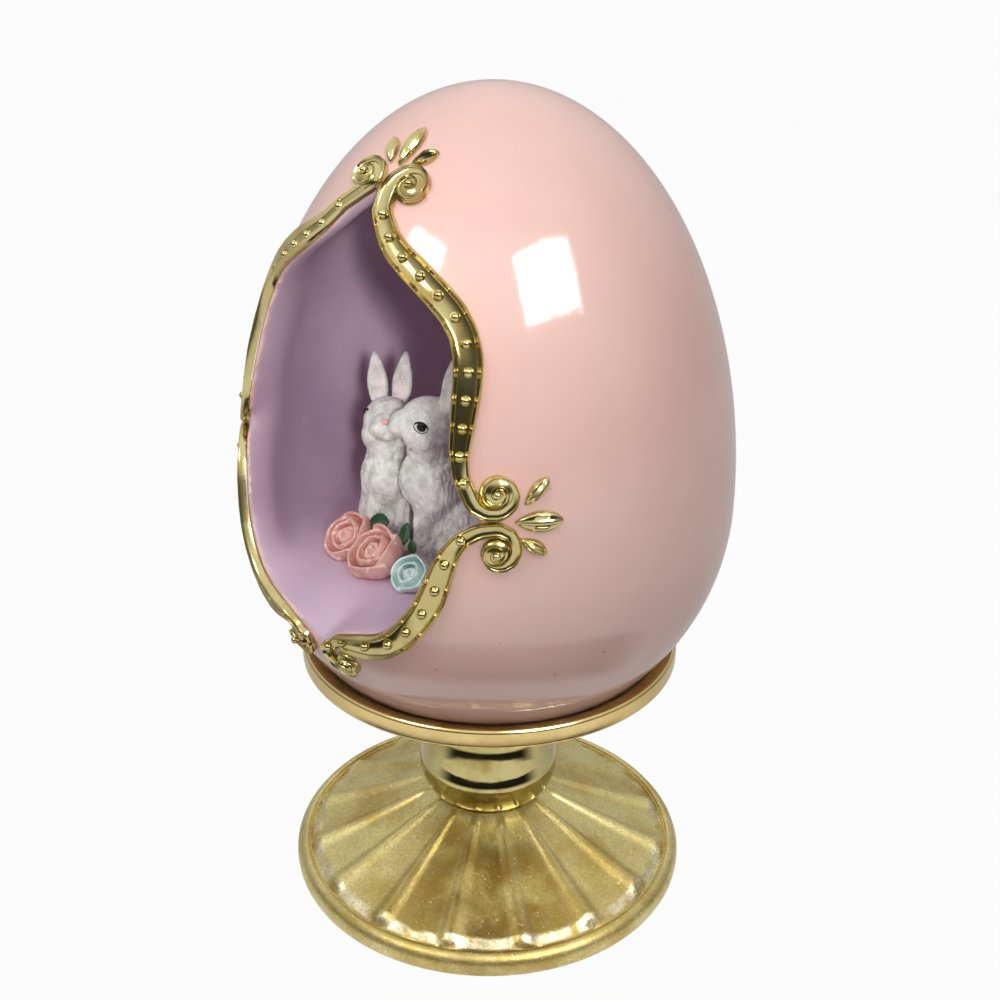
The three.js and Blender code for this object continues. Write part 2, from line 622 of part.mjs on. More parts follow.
function moulding(curve, beadCount, firstScroll, lastScroll) {
  const pieces = [band(curve), ...beads(curve, beadCount), ...firstScroll, ...lastScroll];
  return joined(pieces.map(solidOf));
}

function upperMoulding(topScroll) {
  const scrolls = [scroll(topScroll, 180, 1), scroll(SIDE_UPPER_SCROLL, -90, -1)];
  return geometryOf(moulding(upperCurve, UPPER_BEADS, ...scrolls));
}

const lowerMoulding = moulding(
  lowerCurve,
  LOWER_BEADS,
  scroll(SIDE_LOWER_SCROLL, 90, 1),
  scroll(BOTTOM_SCROLL, 90, -1),
);
addPiece("moulding_upper_right", upperMoulding(TOP_RIGHT_SCROLL), gilt);
addPiece("moulding_upper_left", upperMoulding(TOP_LEFT_SCROLL), gilt).scale.x = -1;
addPair("moulding_lower_SIDE", geometryOf(lowerMoulding), gilt);

// Leaves: a pointed drop that lies on the egg, with a raised spine
function leaf({ foot, tip, width }) {
  const [round] = degreeSizes((foot[1] + tip[1]) / 2);
  const [, along] = degreeSizes(foot[1]);
  const way = new THREE.Vector2((tip[0] - foot[0]) * round, (tip[1] - foot[1]) * along);
  const length = way.length();
  const direction = way.clone().normalize();
  const stations = [0, 0.15, 0.45, 0.75, 1];
  const fullness = [0.25, 0.7, 1, 0.6, 0.12];
  const section = [[-0.5, 0], [0.5, 0], [0.42, 0.55], [0, 1], [-0.42, 0.55]];
  const rings = stations.map((share, i) =>
    section.map(([side, up]) => {
      const across = side * width * fullness[i];
      const height = GAP + up * (LEAF_HEIGHT - GAP) * (LEAF_END + (1 - LEAF_END) * fullness[i]);
      const x = direction.x * length * share - direction.y * across;
      const y = direction.y * length * share + direction.x * across;
      return besideOnEgg(foot, x, y, height);
    }),
  );
  const flat = section.map((p) => new THREE.Vector2(...p));
  return lofted(rings, THREE.ShapeUtils.triangulateShape(flat, []));
}

for (const [where, shape] of Object.entries(TOP_LEAVES)) {
  addPiece(`leaf_top_${where}`, leaf(shape), gilt);
}
for (const [where, shape] of Object.entries(SIDE_LEAVES)) {
  addPair(`leaf_SIDE_${where}`, leaf(shape), gilt);
}

// Rabbits
const aboveFloor = new THREE.BoxGeometry(4 * EGG_RADIUS, 4 * EGG_RADIUS, 2 * EGG_CROWN);
aboveFloor.translate(0, 0, FLOOR + GAP + EGG_CROWN);
const overFloor = solidOf(aboveFloor);

function rabbit({ x, y, facing, nod, reach, rise }, grow = 0) {
  const body = RABBIT_BODY.map(({ at, size, share }) =>
    ball(at, size, grow).translate(0, -reach * share, rise * share),
  );
  const ears = [1, -1].map((side) => {
    const { at, size, splay } = RABBIT_EAR;
    const ear = ball([0, 0, 0], size, grow, 8, 6).rotateY(radians(side * splay));
    return ear.translate(side * at[0], at[1], at[2]);
  });
  const head = [...RABBIT_HEAD.map(({ at, size }) => ball(at, size, grow)), ...ears];
  const neck = new THREE.Vector3(...RABBIT_NECK);
  for (const piece of head) {
    piece.translate(-neck.x, -neck.y, -neck.z).rotateX(radians(-nod));
    piece.translate(neck.x, neck.y - reach, neck.z + rise);
  }
  const pieces = [...body, ...head].map((piece) =>
    piece.rotateZ(radians(facing)).translate(x, SCENE_LINE + y, FLOOR),
  );
  return joined(pieces.map(solidOf)).intersect(overFloor);
}

const rabbitRight = rabbit(RABBIT_RIGHT);
const rabbitLeft = rabbit(RABBIT_LEFT).subtract(rabbit(RABBIT_RIGHT, GAP));
addPiece("rabbit_right", geometryOf(rabbitRight), whiteGlitter);
addPiece("rabbit_left", geometryOf(rabbitLeft), whiteGlitter);

// Roses: a bud with petals round it, tipped forward and cut by what stands behind
function rose({ x, y, radius }, grow = 0) {
  const sized = (shares) => shares.map((share) => share * radius);
  const bud = ball([0, 0, ROSE_BUD.rise * radius], sized(ROSE_BUD.size), grow);
  const petals = Array.from({ length: ROSE_PETALS }, (_, i) => {
    const petal = ball([0, 0, 0], sized(ROSE_PETAL.size), grow, 8, 4);
    petal.rotateY(radians(ROSE_PETAL.lean));
    petal.translate(ROSE_PETAL.out * radius, 0, -ROSE_PETAL.drop * radius);
    return petal.rotateZ((i / ROSE_PETALS) * 2 * Math.PI);
  });
  const pieces = [bud, ...petals].map((piece) =>
    piece.rotateX(radians(ROSE_TIP)).translate(x, SCENE_LINE + y, FLOOR + ROSE_RISE * radius),
  );
  return joined(pieces.map(solidOf)).intersect(overFloor);
}

const rabbitsGrown = rabbit(RABBIT_LEFT, GAP).add(rabbit(RABBIT_RIGHT, GAP));
const roseLeft = rose(PINK_ROSE_LEFT).subtract(rabbitsGrown);
const roseRight = rose(PINK_ROSE_RIGHT).subtract(rabbitsGrown).subtract(rose(PINK_ROSE_LEFT, GAP));
const roseBlue = rose(BLUE_ROSE).subtract(rabbitsGrown).subtract(rose(PINK_ROSE_RIGHT, GAP));
addPiece("pink_rose_left", geometryOf(roseLeft), pinkPetal);
addPiece("pink_rose_right", geometryOf(roseRight), pinkPetal);
addPiece("blue_rose", geometryOf(roseBlue), bluePetal);

// Rose leaves
const rosesGrown = joined([PINK_ROSE_LEFT, PINK_ROSE_RIGHT, BLUE_ROSE].map((shape) => rose(shape, GAP)));

function roseLeaf({ x, y, z, length, turn }) {
  const blade = ball([0, 0, 0], [length / 2, ROSE_LEAF_WIDTH / 2, ROSE_LEAF_THICKNESS / 2], 0, 8, 4);
  blade.rotateX(radians(ROSE_LEAF_TILT)).rotateZ(radians(turn)).translate(x, SCENE_LINE + y, FLOOR + z);
  return solidOf(blade).subtract(rosesGrown).subtract(rabbitsGrown);
}

addPiece("rose_leaf_left", geometryOf(roseLeaf(ROSE_LEAF_LEFT)), leafGreen);
addPiece("rose_leaf_middle", geometryOf(roseLeaf(ROSE_LEAF_MIDDLE)), leafGreen);
addPiece("rose_leaf_right", geometryOf(roseLeaf(ROSE_LEAF_RIGHT)), leafGreen);

export default group;
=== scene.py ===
# %% [markdown]
# # An Easter egg on a gilt stand
# The object is a hollow pink egg with a gilded window, two rabbits and three roses inside, and a turned and
# fluted stand below. The solids give the places and sizes. This lesson models a finer piece over most of
# them and gives every piece its paint, gilding or glitter.

# %% Load the solids
import math
from collections import namedtuple

import bmesh
import bpy
import numpy as np
from mathutils import Matrix, Vector, kdtree, noise


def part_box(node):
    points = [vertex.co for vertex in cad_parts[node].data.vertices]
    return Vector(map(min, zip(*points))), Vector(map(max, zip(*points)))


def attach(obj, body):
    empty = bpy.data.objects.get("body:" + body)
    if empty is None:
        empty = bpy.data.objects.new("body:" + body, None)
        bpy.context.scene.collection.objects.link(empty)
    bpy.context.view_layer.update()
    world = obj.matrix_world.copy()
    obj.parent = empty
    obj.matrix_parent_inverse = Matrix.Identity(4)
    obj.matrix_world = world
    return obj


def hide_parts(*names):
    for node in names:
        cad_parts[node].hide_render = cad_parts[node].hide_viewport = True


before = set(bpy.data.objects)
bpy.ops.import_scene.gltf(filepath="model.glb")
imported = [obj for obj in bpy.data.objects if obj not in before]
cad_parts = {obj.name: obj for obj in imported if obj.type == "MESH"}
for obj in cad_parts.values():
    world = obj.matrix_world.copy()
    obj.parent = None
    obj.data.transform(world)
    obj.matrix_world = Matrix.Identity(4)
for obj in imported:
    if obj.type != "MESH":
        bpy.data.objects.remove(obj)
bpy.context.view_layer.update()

MM = 0.001

# %% [markdown]
# ## Hand tools
# A few small helpers stand for what a person does all the time in the viewport: pick up one piece alone,
# add a primitive, apply a modifier, join pieces, and put a piece's place into its mesh, so that its object
# rests at the origin.

# %% Hand tools
DOUBLES = 0.002 * MM  # corners that are nearer than this are merged
MIRRORED = Matrix.Scale(-1, 4, (1, 0, 0))


def hold(piece):
    """Selects one piece alone and makes it the active one."""
    bpy.ops.object.select_all(action="DESELECT")
    piece.select_set(True)
    bpy.context.view_layer.objects.active = piece


def new(add, **settings):
    """Adds a primitive or a lamp while nothing else is selected."""
    bpy.ops.object.select_all(action="DESELECT")
    add(**settings)
    return bpy.context.object


def new_ball(segments, rings, radius, place=(0, 0, 0)):
    add = bpy.ops.mesh.primitive_uv_sphere_add
    return new(add, segments=segments, ring_count=rings, radius=radius, location=place)


def settle(piece, name):
    """Names a piece and moves its place, turn and size into its mesh."""
    hold(piece)
    bpy.ops.object.transform_apply(location=True, rotation=True, scale=True)
    piece.name = name
    piece.data.name = name
    return piece


def modify(piece, kind, **settings):
    """Adds a modifier with these settings and applies it."""
    hold(piece)
    added = piece.modifiers.new(kind.lower(), kind)
    for key, value in settings.items():
        setattr(added, key, value)
    bpy.ops.object.modifier_apply(modifier=added.name)


def join(name, pieces):
    """Joins pieces into one mesh."""
    hold(pieces[0])
    for piece in pieces[1:]:
        piece.select_set(True)
    bpy.ops.object.join()
    return settle(pieces[0], name)


def edit_all(piece):
    """Opens one piece in edit mode with all of it selected."""
    hold(piece)
    bpy.ops.object.mode_set(mode="EDIT")
    bpy.ops.mesh.select_all(action="SELECT")


def face_outwards(piece):
    """Merges doubled corners and turns every face outwards."""
    edit_all(piece)
    bpy.ops.mesh.remove_doubles(threshold=DOUBLES)
    bpy.ops.mesh.normals_make_consistent(inside=False)
    bpy.ops.object.mode_set(mode="OBJECT")


def corners(piece):
    """A mesh's corners as rows of x, y and z."""
    flat = np.zeros(3 * len(piece.data.vertices))
    piece.data.vertices.foreach_get("co", flat)
    return flat.reshape(-1, 3)


def set_corners(piece, places):
    piece.data.vertices.foreach_set("co", np.asarray(places).ravel())
    piece.data.update()


def rotated(degrees, axis):
    return Matrix.Rotation(math.radians(degrees), 4, axis)


# %% [markdown]
# A finished piece is shaded smooth, all over or except at its sharp edges. Then it takes the place of its
# solid: it rides on the same body, and the solid is hidden.

# %% Finish a piece
def smooth(piece):
    hold(piece)
    bpy.ops.object.shade_smooth()


def round_off(piece, angle):
    """Smooth shading, except over edges sharper than the angle."""
    hold(piece)
    bpy.ops.object.shade_smooth_by_angle(angle=math.radians(angle))


def take_place(piece, body, node, slot):
    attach(piece, body)
    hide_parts(node)


# %% [markdown]
# ## The egg's own coordinates
# The gilding follows the egg like lines on a globe, so it is easiest to place by longitude, counted from
# the middle of the window, and latitude. The egg is two half ellipsoids, a tall one over a low one, that
# share their largest radius. The solids give where it stands and how tall it is.

# %% The egg's coordinates
egg_low, egg_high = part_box("egg_shell")
EGG_RADIUS = 58 * MM
EGG_CROWN = 93.8 * MM
EGG_DEPTH = 59 * MM
EGG_WALL = 6 * MM
FLOOR_RISE = 42 * MM
EQUATOR = egg_high.z - EGG_CROWN
FLOOR = egg_low.z + FLOOR_RISE
print("egg's largest radius is", round(EQUATOR / MM, 1), "mm up, its floor", round(FLOOR / MM, 1))


def on_egg(longitude, latitude, height=0.0):
    """The point at this height over the egg's skin."""
    turn, rise = math.radians(longitude), math.radians(latitude)
    tall = EGG_CROWN if latitude > 0 else EGG_DEPTH
    outwards = Vector((math.sin(turn), -math.cos(turn), 0))
    skin = EGG_RADIUS * math.cos(rise) * outwards + Vector((0, 0, EQUATOR + tall * math.sin(rise)))
    normal = tall * math.cos(rise) * outwards + Vector((0, 0, EGG_RADIUS * math.sin(rise)))
    return skin + height * normal.normalized()


def degree_sizes(latitude):
    """How long one degree of longitude and one of latitude are on the skin."""
    rise = math.radians(latitude)
    tall = EGG_CROWN if latitude > 0 else EGG_DEPTH
    along = math.hypot(EGG_RADIUS * math.sin(rise), tall * math.cos(rise))
    return math.radians(1) * EGG_RADIUS * math.cos(rise), math.radians(1) * along


def beside(spot, x, y):
    """The longitude and latitude of a point x to the right of a spot and y above it."""
    around, along = degree_sizes(spot[1])
    return spot[0] + x / around, spot[1] + y / along


# %% [markdown]
# ## The window's edge
# The window has a point at the top, one at each side and one below, joined by S-curves. Each curve is a
# smooth spline through a few points of longitude and latitude. The left half mirrors the right one.

# %% The window's edge
UPPER_EDGE = [
    (0, 53.6), (6.4, 48.6), (13.5, 43.3), (23.5, 38.8), (31.5, 34.9),
    (35, 30.7), (35.2, 24.7), (35.4, 17.8), (38.2, 13), (44.5, 10.2),
]
LOWER_EDGE = [
    (44.5, 10.2), (38.5, 9.7), (34.2, 7.2), (30.4, 2), (26.1, -4.8),
    (20.3, -10.8), (13.2, -13.2), (6, -16.3), (0, -23.7),
]
EDGE_STEPS = 40
NEARLY_ALL = 0.99999  # the whole way would begin a stretch beyond the last point


def spline(points, share):
    """The point at a share of the way along a smooth curve through the points."""
    last = len(points) - 1
    place = min(share, NEARLY_ALL) * last
    start = int(place)
    t = place - start
    before, here, there, after = (Vector(points[min(max(start + k, 0), last)]) for k in (-1, 0, 1, 2))
    leaving = (there - before) / 2
    arriving = (after - here) / 2
    cubic = 2 * here - 2 * there + leaving + arriving
    square = 3 * there - 3 * here - 2 * leaving - arriving
    return cubic * t**3 + square * t**2 + leaving * t + here


right_edge = [spline(UPPER_EDGE, i / EDGE_STEPS) for i in range(EDGE_STEPS)]
right_edge += [spline(LOWER_EDGE, i / EDGE_STEPS) for i in range(EDGE_STEPS + 1)]
left_edge = [Vector((-p[0], p[1])) for p in reversed(right_edge[1:-1])]
window_edge = [on_egg(*p) for p in right_edge + left_edge]
print("window edge", len(window_edge), "points")

# %% [markdown]
# ## A bar drawn through rings
# The window's cutter, the mouldings and the lids of the rabbits' eyes are all bars with a changing section.
# A cylinder gets as many sides as the section has points and as many cuts as there are sections, and then
# each of its rings goes to its place. That keeps both ends closed.

# %% A bar drawn through rings
def drawn_bar(name, rings):
    """A bar with these rings of points as its sections."""
    sides, cuts = len(rings[0]), len(rings) - 2
    bar = new(bpy.ops.mesh.primitive_cylinder_add, vertices=sides, radius=1, depth=1, end_fill_type="NGON")
    bpy.ops.object.mode_set(mode="EDIT")
    bpy.ops.mesh.select_mode(type="EDGE")
    bpy.ops.mesh.select_all(action="DESELECT")
    shape = bmesh.from_edit_mesh(bar.data)
    for edge in shape.edges:
        edge.select_set(abs(edge.verts[0].co.z - edge.verts[1].co.z) > 0.5)
    bmesh.update_edit_mesh(bar.data)
    bpy.ops.mesh.subdivide(number_cuts=cuts)
    bpy.ops.object.mode_set(mode="OBJECT")
    for corner in bar.data.vertices:
        ring = round((corner.co.z + 0.5) * (cuts + 1))
        side = round(math.atan2(corner.co.x, corner.co.y) / math.tau * sides) % sides
        corner.co = rings[ring][side]
    face_outwards(bar)
    return settle(bar, name)


# %% [markdown]
# ## The egg's shell
# The real shell is a thick casting, pink outside and lavender inside. It starts as a sphere that is
# stretched upwards and downwards by different amounts and cut flat below. A smaller one, with its lower
# part raised into a soft floor, is taken out of it.

# %% The egg's shell
def egg_shape(name, inset):
    """A closed egg that lies this far inside the skin."""
    radius = EGG_RADIUS - inset
    egg = settle(new_ball(128, 96, radius, (0, 0, EQUATOR)), name)
    places = corners(egg)
    above = places[:, 2] > EQUATOR
    stretch = np.where(above, (EGG_CROWN - inset) / radius, (EGG_DEPTH - inset) / radius)
    places[:, 2] = EQUATOR + (places[:, 2] - EQUATOR) * stretch
    set_corners(egg, places)
    return egg


shell = egg_shape("egg", 0)
edit_all(shell)
bpy.ops.mesh.bisect(plane_co=(0, 0, egg_low.z), plane_no=(0, 0, 1), use_fill=True, clear_inner=True)
bpy.ops.object.mode_set(mode="OBJECT")

FLOOR_SOFTNESS = 7 * MM
hollow = egg_shape("hollow", EGG_WALL)
places = corners(hollow)
over_floor = places[:, 2] - FLOOR
places[:, 2] = FLOOR + (over_floor + np.hypot(over_floor, FLOOR_SOFTNESS)) / 2
set_corners(hollow, places)
print("shell and hollow", len(shell.data.vertices), len(hollow.data.vertices), "corners")

# %% [markdown]
# The window is a cut through the wall. Just inside the edge its points run out into a plain round mouth, so
# each point leaves a short valley in the wall, as at the left of the photograph. The rings of the cutter
# lie in front of the egg, on the window's edge and deeper inside.

# %% Cut the window
WINDOW_FADE = 16 * MM
MOUTH_HALF_WIDTH = 40 * MM
MOUTH_FLARE = 1.25
MOUTH_RISE = 66 * MM
FIRMNESS = 16  # how suddenly the mouth's limits hold


def limited(value, limit):
    """Keeps a value within a limit, with little change well inside it."""
    return value / (1 + abs(value / limit) ** FIRMNESS) ** (1 / FIRMNESS)


mouth_top = EQUATOR + MOUTH_RISE
mouth_middle = (mouth_top + FLOOR) / 2
mouth_half = (mouth_top - FLOOR) / 2
in_front = [Vector((p.x, -EGG_RADIUS - EGG_WALL, p.z)) for p in window_edge]
inside = []
for p in window_edge:
    height = mouth_middle + limited(p.z - mouth_middle, mouth_half)
    width = limited(MOUTH_FLARE * p.x, MOUTH_HALF_WIDTH)
    inside.append(Vector((width, p.y + WINDOW_FADE, height)))
mouth = drawn_bar("mouth", [in_front, window_edge, inside])
for tool in (hollow, mouth):
    modify(shell, "BOOLEAN", object=tool, operation="DIFFERENCE", solver="EXACT")
    bpy.data.objects.remove(tool)
print("shell with its window", len(shell.data.polygons), "faces")

# %% [markdown]
# A cast and enamelled edge is never crisp. An even remesh turns the cut shell into one skin of small
# squares. The inside is smoothed, and the outside is set back onto the exact egg, so that its gloss stays
# clean.

# %% Soften the inside and true the outside
SHELL_GRAIN = 1.1 * MM
SKIN_DEPTH = 0.5 * MM  # what lies deeper in the wall is smoothed
TRUED_DEPTH = 0.6 * MM  # what lies less deep after that goes back onto the egg
SEAT_EDGE = 0.8 * MM  # height of the flat seat's edge, which stays as it is
INSIDE_PASSES, EDGE_PASSES = 120, 10
EDGE_REACH = 2.2 * MM


def egg_share(places):
    """How far out each point lies: 1 is the egg's skin."""
    tall = np.where(places[:, 2] > EQUATOR, EGG_CROWN, EGG_DEPTH)
    flat = np.hypot(places[:, 0], places[:, 1]) / EGG_RADIUS
    return np.hypot(flat, (places[:, 2] - EQUATOR) / tall)


modify(shell, "REMESH", mode="VOXEL", voxel_size=SHELL_GRAIN)
outer_skin = egg_share(corners(shell)) > 1 - SKIN_DEPTH / EGG_RADIUS
over_seat = corners(shell)[:, 2] > egg_low.z + MM
within = [int(i) for i in np.flatnonzero(~outer_skin & over_seat)]
shell.vertex_groups.new(name="inside").add(within, 1, "REPLACE")
modify(shell, "SMOOTH", factor=0.5, iterations=INSIDE_PASSES, vertex_group="inside")
places = corners(shell)
share = egg_share(places)
trued = (share > 1 - TRUED_DEPTH / EGG_RADIUS) & (places[:, 2] > egg_low.z + SEAT_EDGE)
middle = np.array((0, 0, EQUATOR))
places[trued] = middle + (places[trued] - middle) / share[trued, None]
places[:, 2] = np.maximum(places[:, 2], egg_low.z)
set_corners(shell, places)

edge_points = kdtree.KDTree(len(window_edge))
for i, point in enumerate(window_edge):
    edge_points.insert(point, i)
edge_points.balance()
by_edge = [corner.index for corner in shell.data.vertices if edge_points.find(corner.co)[2] < EDGE_REACH]
shell.vertex_groups.new(name="edge").add(by_edge, 1, "REPLACE")
modify(shell, "SMOOTH", factor=0.5, iterations=EDGE_PASSES, vertex_group="edge")
shell.vertex_groups.clear()
settle(shell, "enamelled_shell")
smooth(shell)
take_place(shell, "egg", "egg_shell", "pink_gloss")
print("enamelled shell", len(shell.data.polygons), "faces")

# %% [markdown]
# ## The gilt mouldings
# Each moulding is a band with a lip along both edges and a shallow channel between. At both ends it narrows
# and curls up into a scroll. So one course of points is laid out: out of one scroll, along the window's
# edge, into the other scroll. The band's section is then drawn along it, narrower and higher towards each
# eye.

# %% The course of a moulding
BAND_WIDTH = 5.9 * MM
BAND_SETBACK = 0.3 * MM
BAND_POINTS = 16
BAND_TAPER = 0.24  # share of the window's edge over which the band narrows towards a scroll
SCROLL_POINTS = 24
SCROLL_RISE = 1.1 * MM
EYE_REACH = 0.25 * MM
SWEEP_FADE = 5
COIL_BEND = 0.75  # below 1 the outer turns lie closer together
SCROLL_NARROWING, NARROWING_BEND = 0.72, 0.6  # how much narrower the band is at the eye, and how soon
EASED_POINTS = range(SCROLL_POINTS - 1, SCROLL_POINTS + 4)  # of the course, where the scroll meets the band
EDGE_NEARBY, COURSE_NEARBY = 0.01, 0.004  # shares of a curve over which its direction is taken
# A scroll's eye, radius, the band's width where it meets the scroll, the angle at which it does, how much
# further out it starts there, 1 where it winds inwards clockwise, its turns, and how often the bend after
# it is eased
Scroll = namedtuple("Scroll", "spot radius width start sweep hand turns eased", defaults=[0])
TOP_RIGHT = Scroll((16.0, 54.1), 4.6 * MM, 4.0 * MM, 195, 1.8 * MM, 1, 1.75)
TOP_LEFT = Scroll((5.4, 55.2), 4.4 * MM, 3.2 * MM, 195, 0.7 * MM, 1, 1.75)
SIDE_UPPER = Scroll((45.3, 13.8), 4.6 * MM, 3.3 * MM, -150, 1.9 * MM, -1, 1.75)
SIDE_LOWER = Scroll((45.2, 6.1), 4.1 * MM, 3.3 * MM, 116, 3.8 * MM, 1, 1.7, 2)
BOTTOM = Scroll((8.9, -23.4), 3.6 * MM, 2.4 * MM, 145, 3.2 * MM, -1, 1.5)


def away_from_window(points, share):
    """The spot on an edge curve, and the way out from the window there, on the skin."""
    spot = spline(points, share)
    ahead, behind = min(share + EDGE_NEARBY, 1), max(share - EDGE_NEARBY, 0)
    tangent = spline(points, ahead) - spline(points, behind)
    around, along = degree_sizes(spot[1])
    return spot, Vector((-tangent[1] * along, tangent[0] * around)).normalized()


def scroll_course(scroll):
    """Points from the scroll's outer turn in to its eye, with the band's width and lift at each."""
    course = []
    for i in range(SCROLL_POINTS + 1):
        share = i / SCROLL_POINTS
        angle = math.radians(scroll.start) - scroll.hand * share * scroll.turns * math.tau
        width = scroll.width * (1 - SCROLL_NARROWING * share**NARROWING_BEND)
        coil = (scroll.radius - scroll.width / 2) * (1 - share) ** COIL_BEND
        reach = EYE_REACH + coil + scroll.sweep * (1 - share) ** SWEEP_FADE
        spot = beside(scroll.spot, reach * math.cos(angle), reach * math.sin(angle))
        course.append((*spot, width, SCROLL_RISE * share))
    return course


def eased(share):
    """0 to 1 with a soft start and a soft end."""
    share = min(max(share, 0), 1)
    return share * share * (3 - 2 * share)


def moulding_course(points, first, last, begin, end):
    """Out of the first scroll, along the window's edge from begin to end, and into the last scroll."""
    band = []
    for i in range(BAND_POINTS):
        share = begin + (end - begin) * i / (BAND_POINTS - 1)
        width = BAND_WIDTH
        width -= (BAND_WIDTH - first.width) * (1 - eased((share - begin) / BAND_TAPER))
        width -= (BAND_WIDTH - last.width) * (1 - eased((end - share) / BAND_TAPER))
        spot, away = away_from_window(points, share)
        out = away * (BAND_SETBACK + width / 2)
        band.append((*beside(spot, out.x, out.y), width, 0))
    course = [Vector(p) for p in list(reversed(scroll_course(first))) + band + scroll_course(last)]
    for _ in range(first.eased):
        for i in EASED_POINTS:
            course[i] = (course[i - 1] + 2 * course[i] + course[i + 1]) / 4
    return course


# %% [markdown]
# The section is given by a formula: a hollow channel, and a rounded lip near each edge that stands a
# millimetre higher. Where the band is narrow the channel is shallower, so that the scrolls look like one
# rolled ridge.

# %% Draw a moulding
CHANNEL_HEIGHT = 0.9 * MM
CHANNEL_HOLLOW = 0.55 * MM
LIP_RISE = 0.75 * MM
LIP_PLACE = 0.42  # share of the width from the middle
LIP_SPREAD = 0.06
BAND_FOOT, BAND_SIDE = 0.25 * MM, 0.9 * MM  # heights of the band's sides over the skin
NARROWEST_LIPS = 0.15  # how full the lips of the narrowest band are
SECTION_HALF = 0.485  # share of the width from the middle to where the rounded part ends
SECTION_POINTS = 31
COURSE_STEPS = 150


def band_section(width, lift):
    """Points across a band: distance from the middle and height over the skin."""
    section = [(-width / 2, BAND_FOOT), (-width / 2, BAND_SIDE + lift)]
    fullness = min(1, width / BAND_WIDTH + NARROWEST_LIPS)
    for i in range(SECTION_POINTS):
        across = -SECTION_HALF + 2 * SECTION_HALF * i / (SECTION_POINTS - 1)
        lip = math.exp(-(((abs(across) - LIP_PLACE) / LIP_SPREAD) ** 2))
        hollow = CHANNEL_HOLLOW * min(1, abs(across) / LIP_PLACE) ** 2
        section.append((across * width, CHANNEL_HEIGHT + lift + fullness * (LIP_RISE * lip + hollow)))
    return section + [(width / 2, BAND_SIDE + lift), (width / 2, BAND_FOOT)]


def drawn_moulding(name, course):
    """The band's section, drawn along its course on the egg."""
    rings = []
    for i in range(COURSE_STEPS + 1):
        share = i / COURSE_STEPS
        longitude, latitude, width, lift = spline(course, share)
        ahead = spline(course, min(share + COURSE_NEARBY, 1))
        behind = spline(course, max(share - COURSE_NEARBY, 0))
        around, along = degree_sizes(latitude)
        way = Vector(((ahead[0] - behind[0]) * around, (ahead[1] - behind[1]) * along)).normalized()
        ring = []
        for across, height in band_section(width, max(lift, 0)):
            spot = beside((longitude, latitude), -way.y * across, way.x * across)
            ring.append(on_egg(*spot, height))
        rings.append(ring)
    return drawn_bar(name, rings)


# %% [markdown]
# Under each scroll lies a low dome that closes the gaps between its turns, with a small ball as its eye.
# Beads run along the channel. A ball is modelled once, flattened where it meets the band, and copied to
# each place.

# %% Domes, eyes and beads
BEAD_RADIUS, BEAD_HEIGHT = 1.1 * MM, 1.15 * MM
EYE_RADIUS, EYE_HEIGHT, EYE_SEAT = 0.85 * MM, 0.8 * MM, 2.2 * MM
DOME_REACH = 0.8  # share of its scroll's radius
DOME_HEIGHT, DOME_SEAT = 1.7 * MM, 0.2 * MM
BALL_DEPTH = 0.2  # share of its radius that a flattened ball reaches below the ground
FIRST_BEAD = 1.4  # points of the course after the scroll's last
WALK_POINTS = 200
# Shares of the window's edge between which a band runs, and the number of its beads
UPPER_SPAN, UPPER_BEADS = (0.1, 0.85), 12
LOWER_SPAN, LOWER_BEADS = (0.17, 0.92), 9


def flat_ball(name, radius, height, segments):
    """Half of a flattened ball that stands on the ground at the origin."""
    ball = settle(new_ball(segments, segments // 2, radius), name)
    places = corners(ball)
    places[:, 2] = np.maximum(places[:, 2], -BALL_DEPTH * radius) * height / radius
    set_corners(ball, places)
    return ball


def seated(ball, spot, height):
    """A copy of a piece, stood on the egg's skin."""
    copy = ball.copy()
    copy.data = ball.data.copy()
    bpy.context.scene.collection.objects.link(copy)
    up = (on_egg(*spot, MM) - on_egg(*spot)).normalized()
    east = Vector((math.cos(math.radians(spot[0])), math.sin(math.radians(spot[0])), 0))
    turn = Matrix((east, up.cross(east), up)).transposed().to_4x4()
    copy.data.transform(Matrix.Translation(on_egg(*spot, height)) @ turn)
    return copy


bead = flat_ball("bead", BEAD_RADIUS, BEAD_HEIGHT, 14)
eye_ball = flat_ball("eye", EYE_RADIUS, EYE_HEIGHT, 14)


def bead_spots(course, count):
    """Spots at equal distances along the band, which lies between the two scrolls."""
    last = len(course) - 1
    begin, end = (SCROLL_POINTS + FIRST_BEAD) / last, (SCROLL_POINTS + BAND_POINTS) / last
    shares = np.linspace(begin, end, WALK_POINTS)
    places = [on_egg(*spline(course, share)[:2]) for share in shares]
    steps = [(there - here).length for here, there in zip(places, places[1:])]
    walked = np.concatenate(([0], np.cumsum(steps)))
    chosen = np.interp(np.linspace(0, walked[-1], count), walked, shares)
    return [spline(course, share)[:2] for share in chosen]


def moulding(name, node, points, bead_count, first, last, begin, end, mirrored):
    course = moulding_course(points, first, last, begin, end)
    pieces = [drawn_moulding(name, course)]
    for scroll in (first, last):
        dome = flat_ball("dome", scroll.radius * DOME_REACH, DOME_HEIGHT, 28)
        pieces += [seated(dome, scroll.spot, DOME_SEAT), seated(eye_ball, scroll.spot, EYE_SEAT)]
        bpy.data.objects.remove(dome)
    for spot in bead_spots(course, bead_count):
        pieces.append(seated(bead, spot, CHANNEL_HEIGHT))
    piece = join(name, pieces)
    if mirrored:
        piece.data.transform(MIRRORED)
        piece.data.flip_normals()
    round_off(piece, 50)
    take_place(piece, "egg", node, "polished_gilt")
    print(name, len(piece.data.polygons), "faces")
    return piece


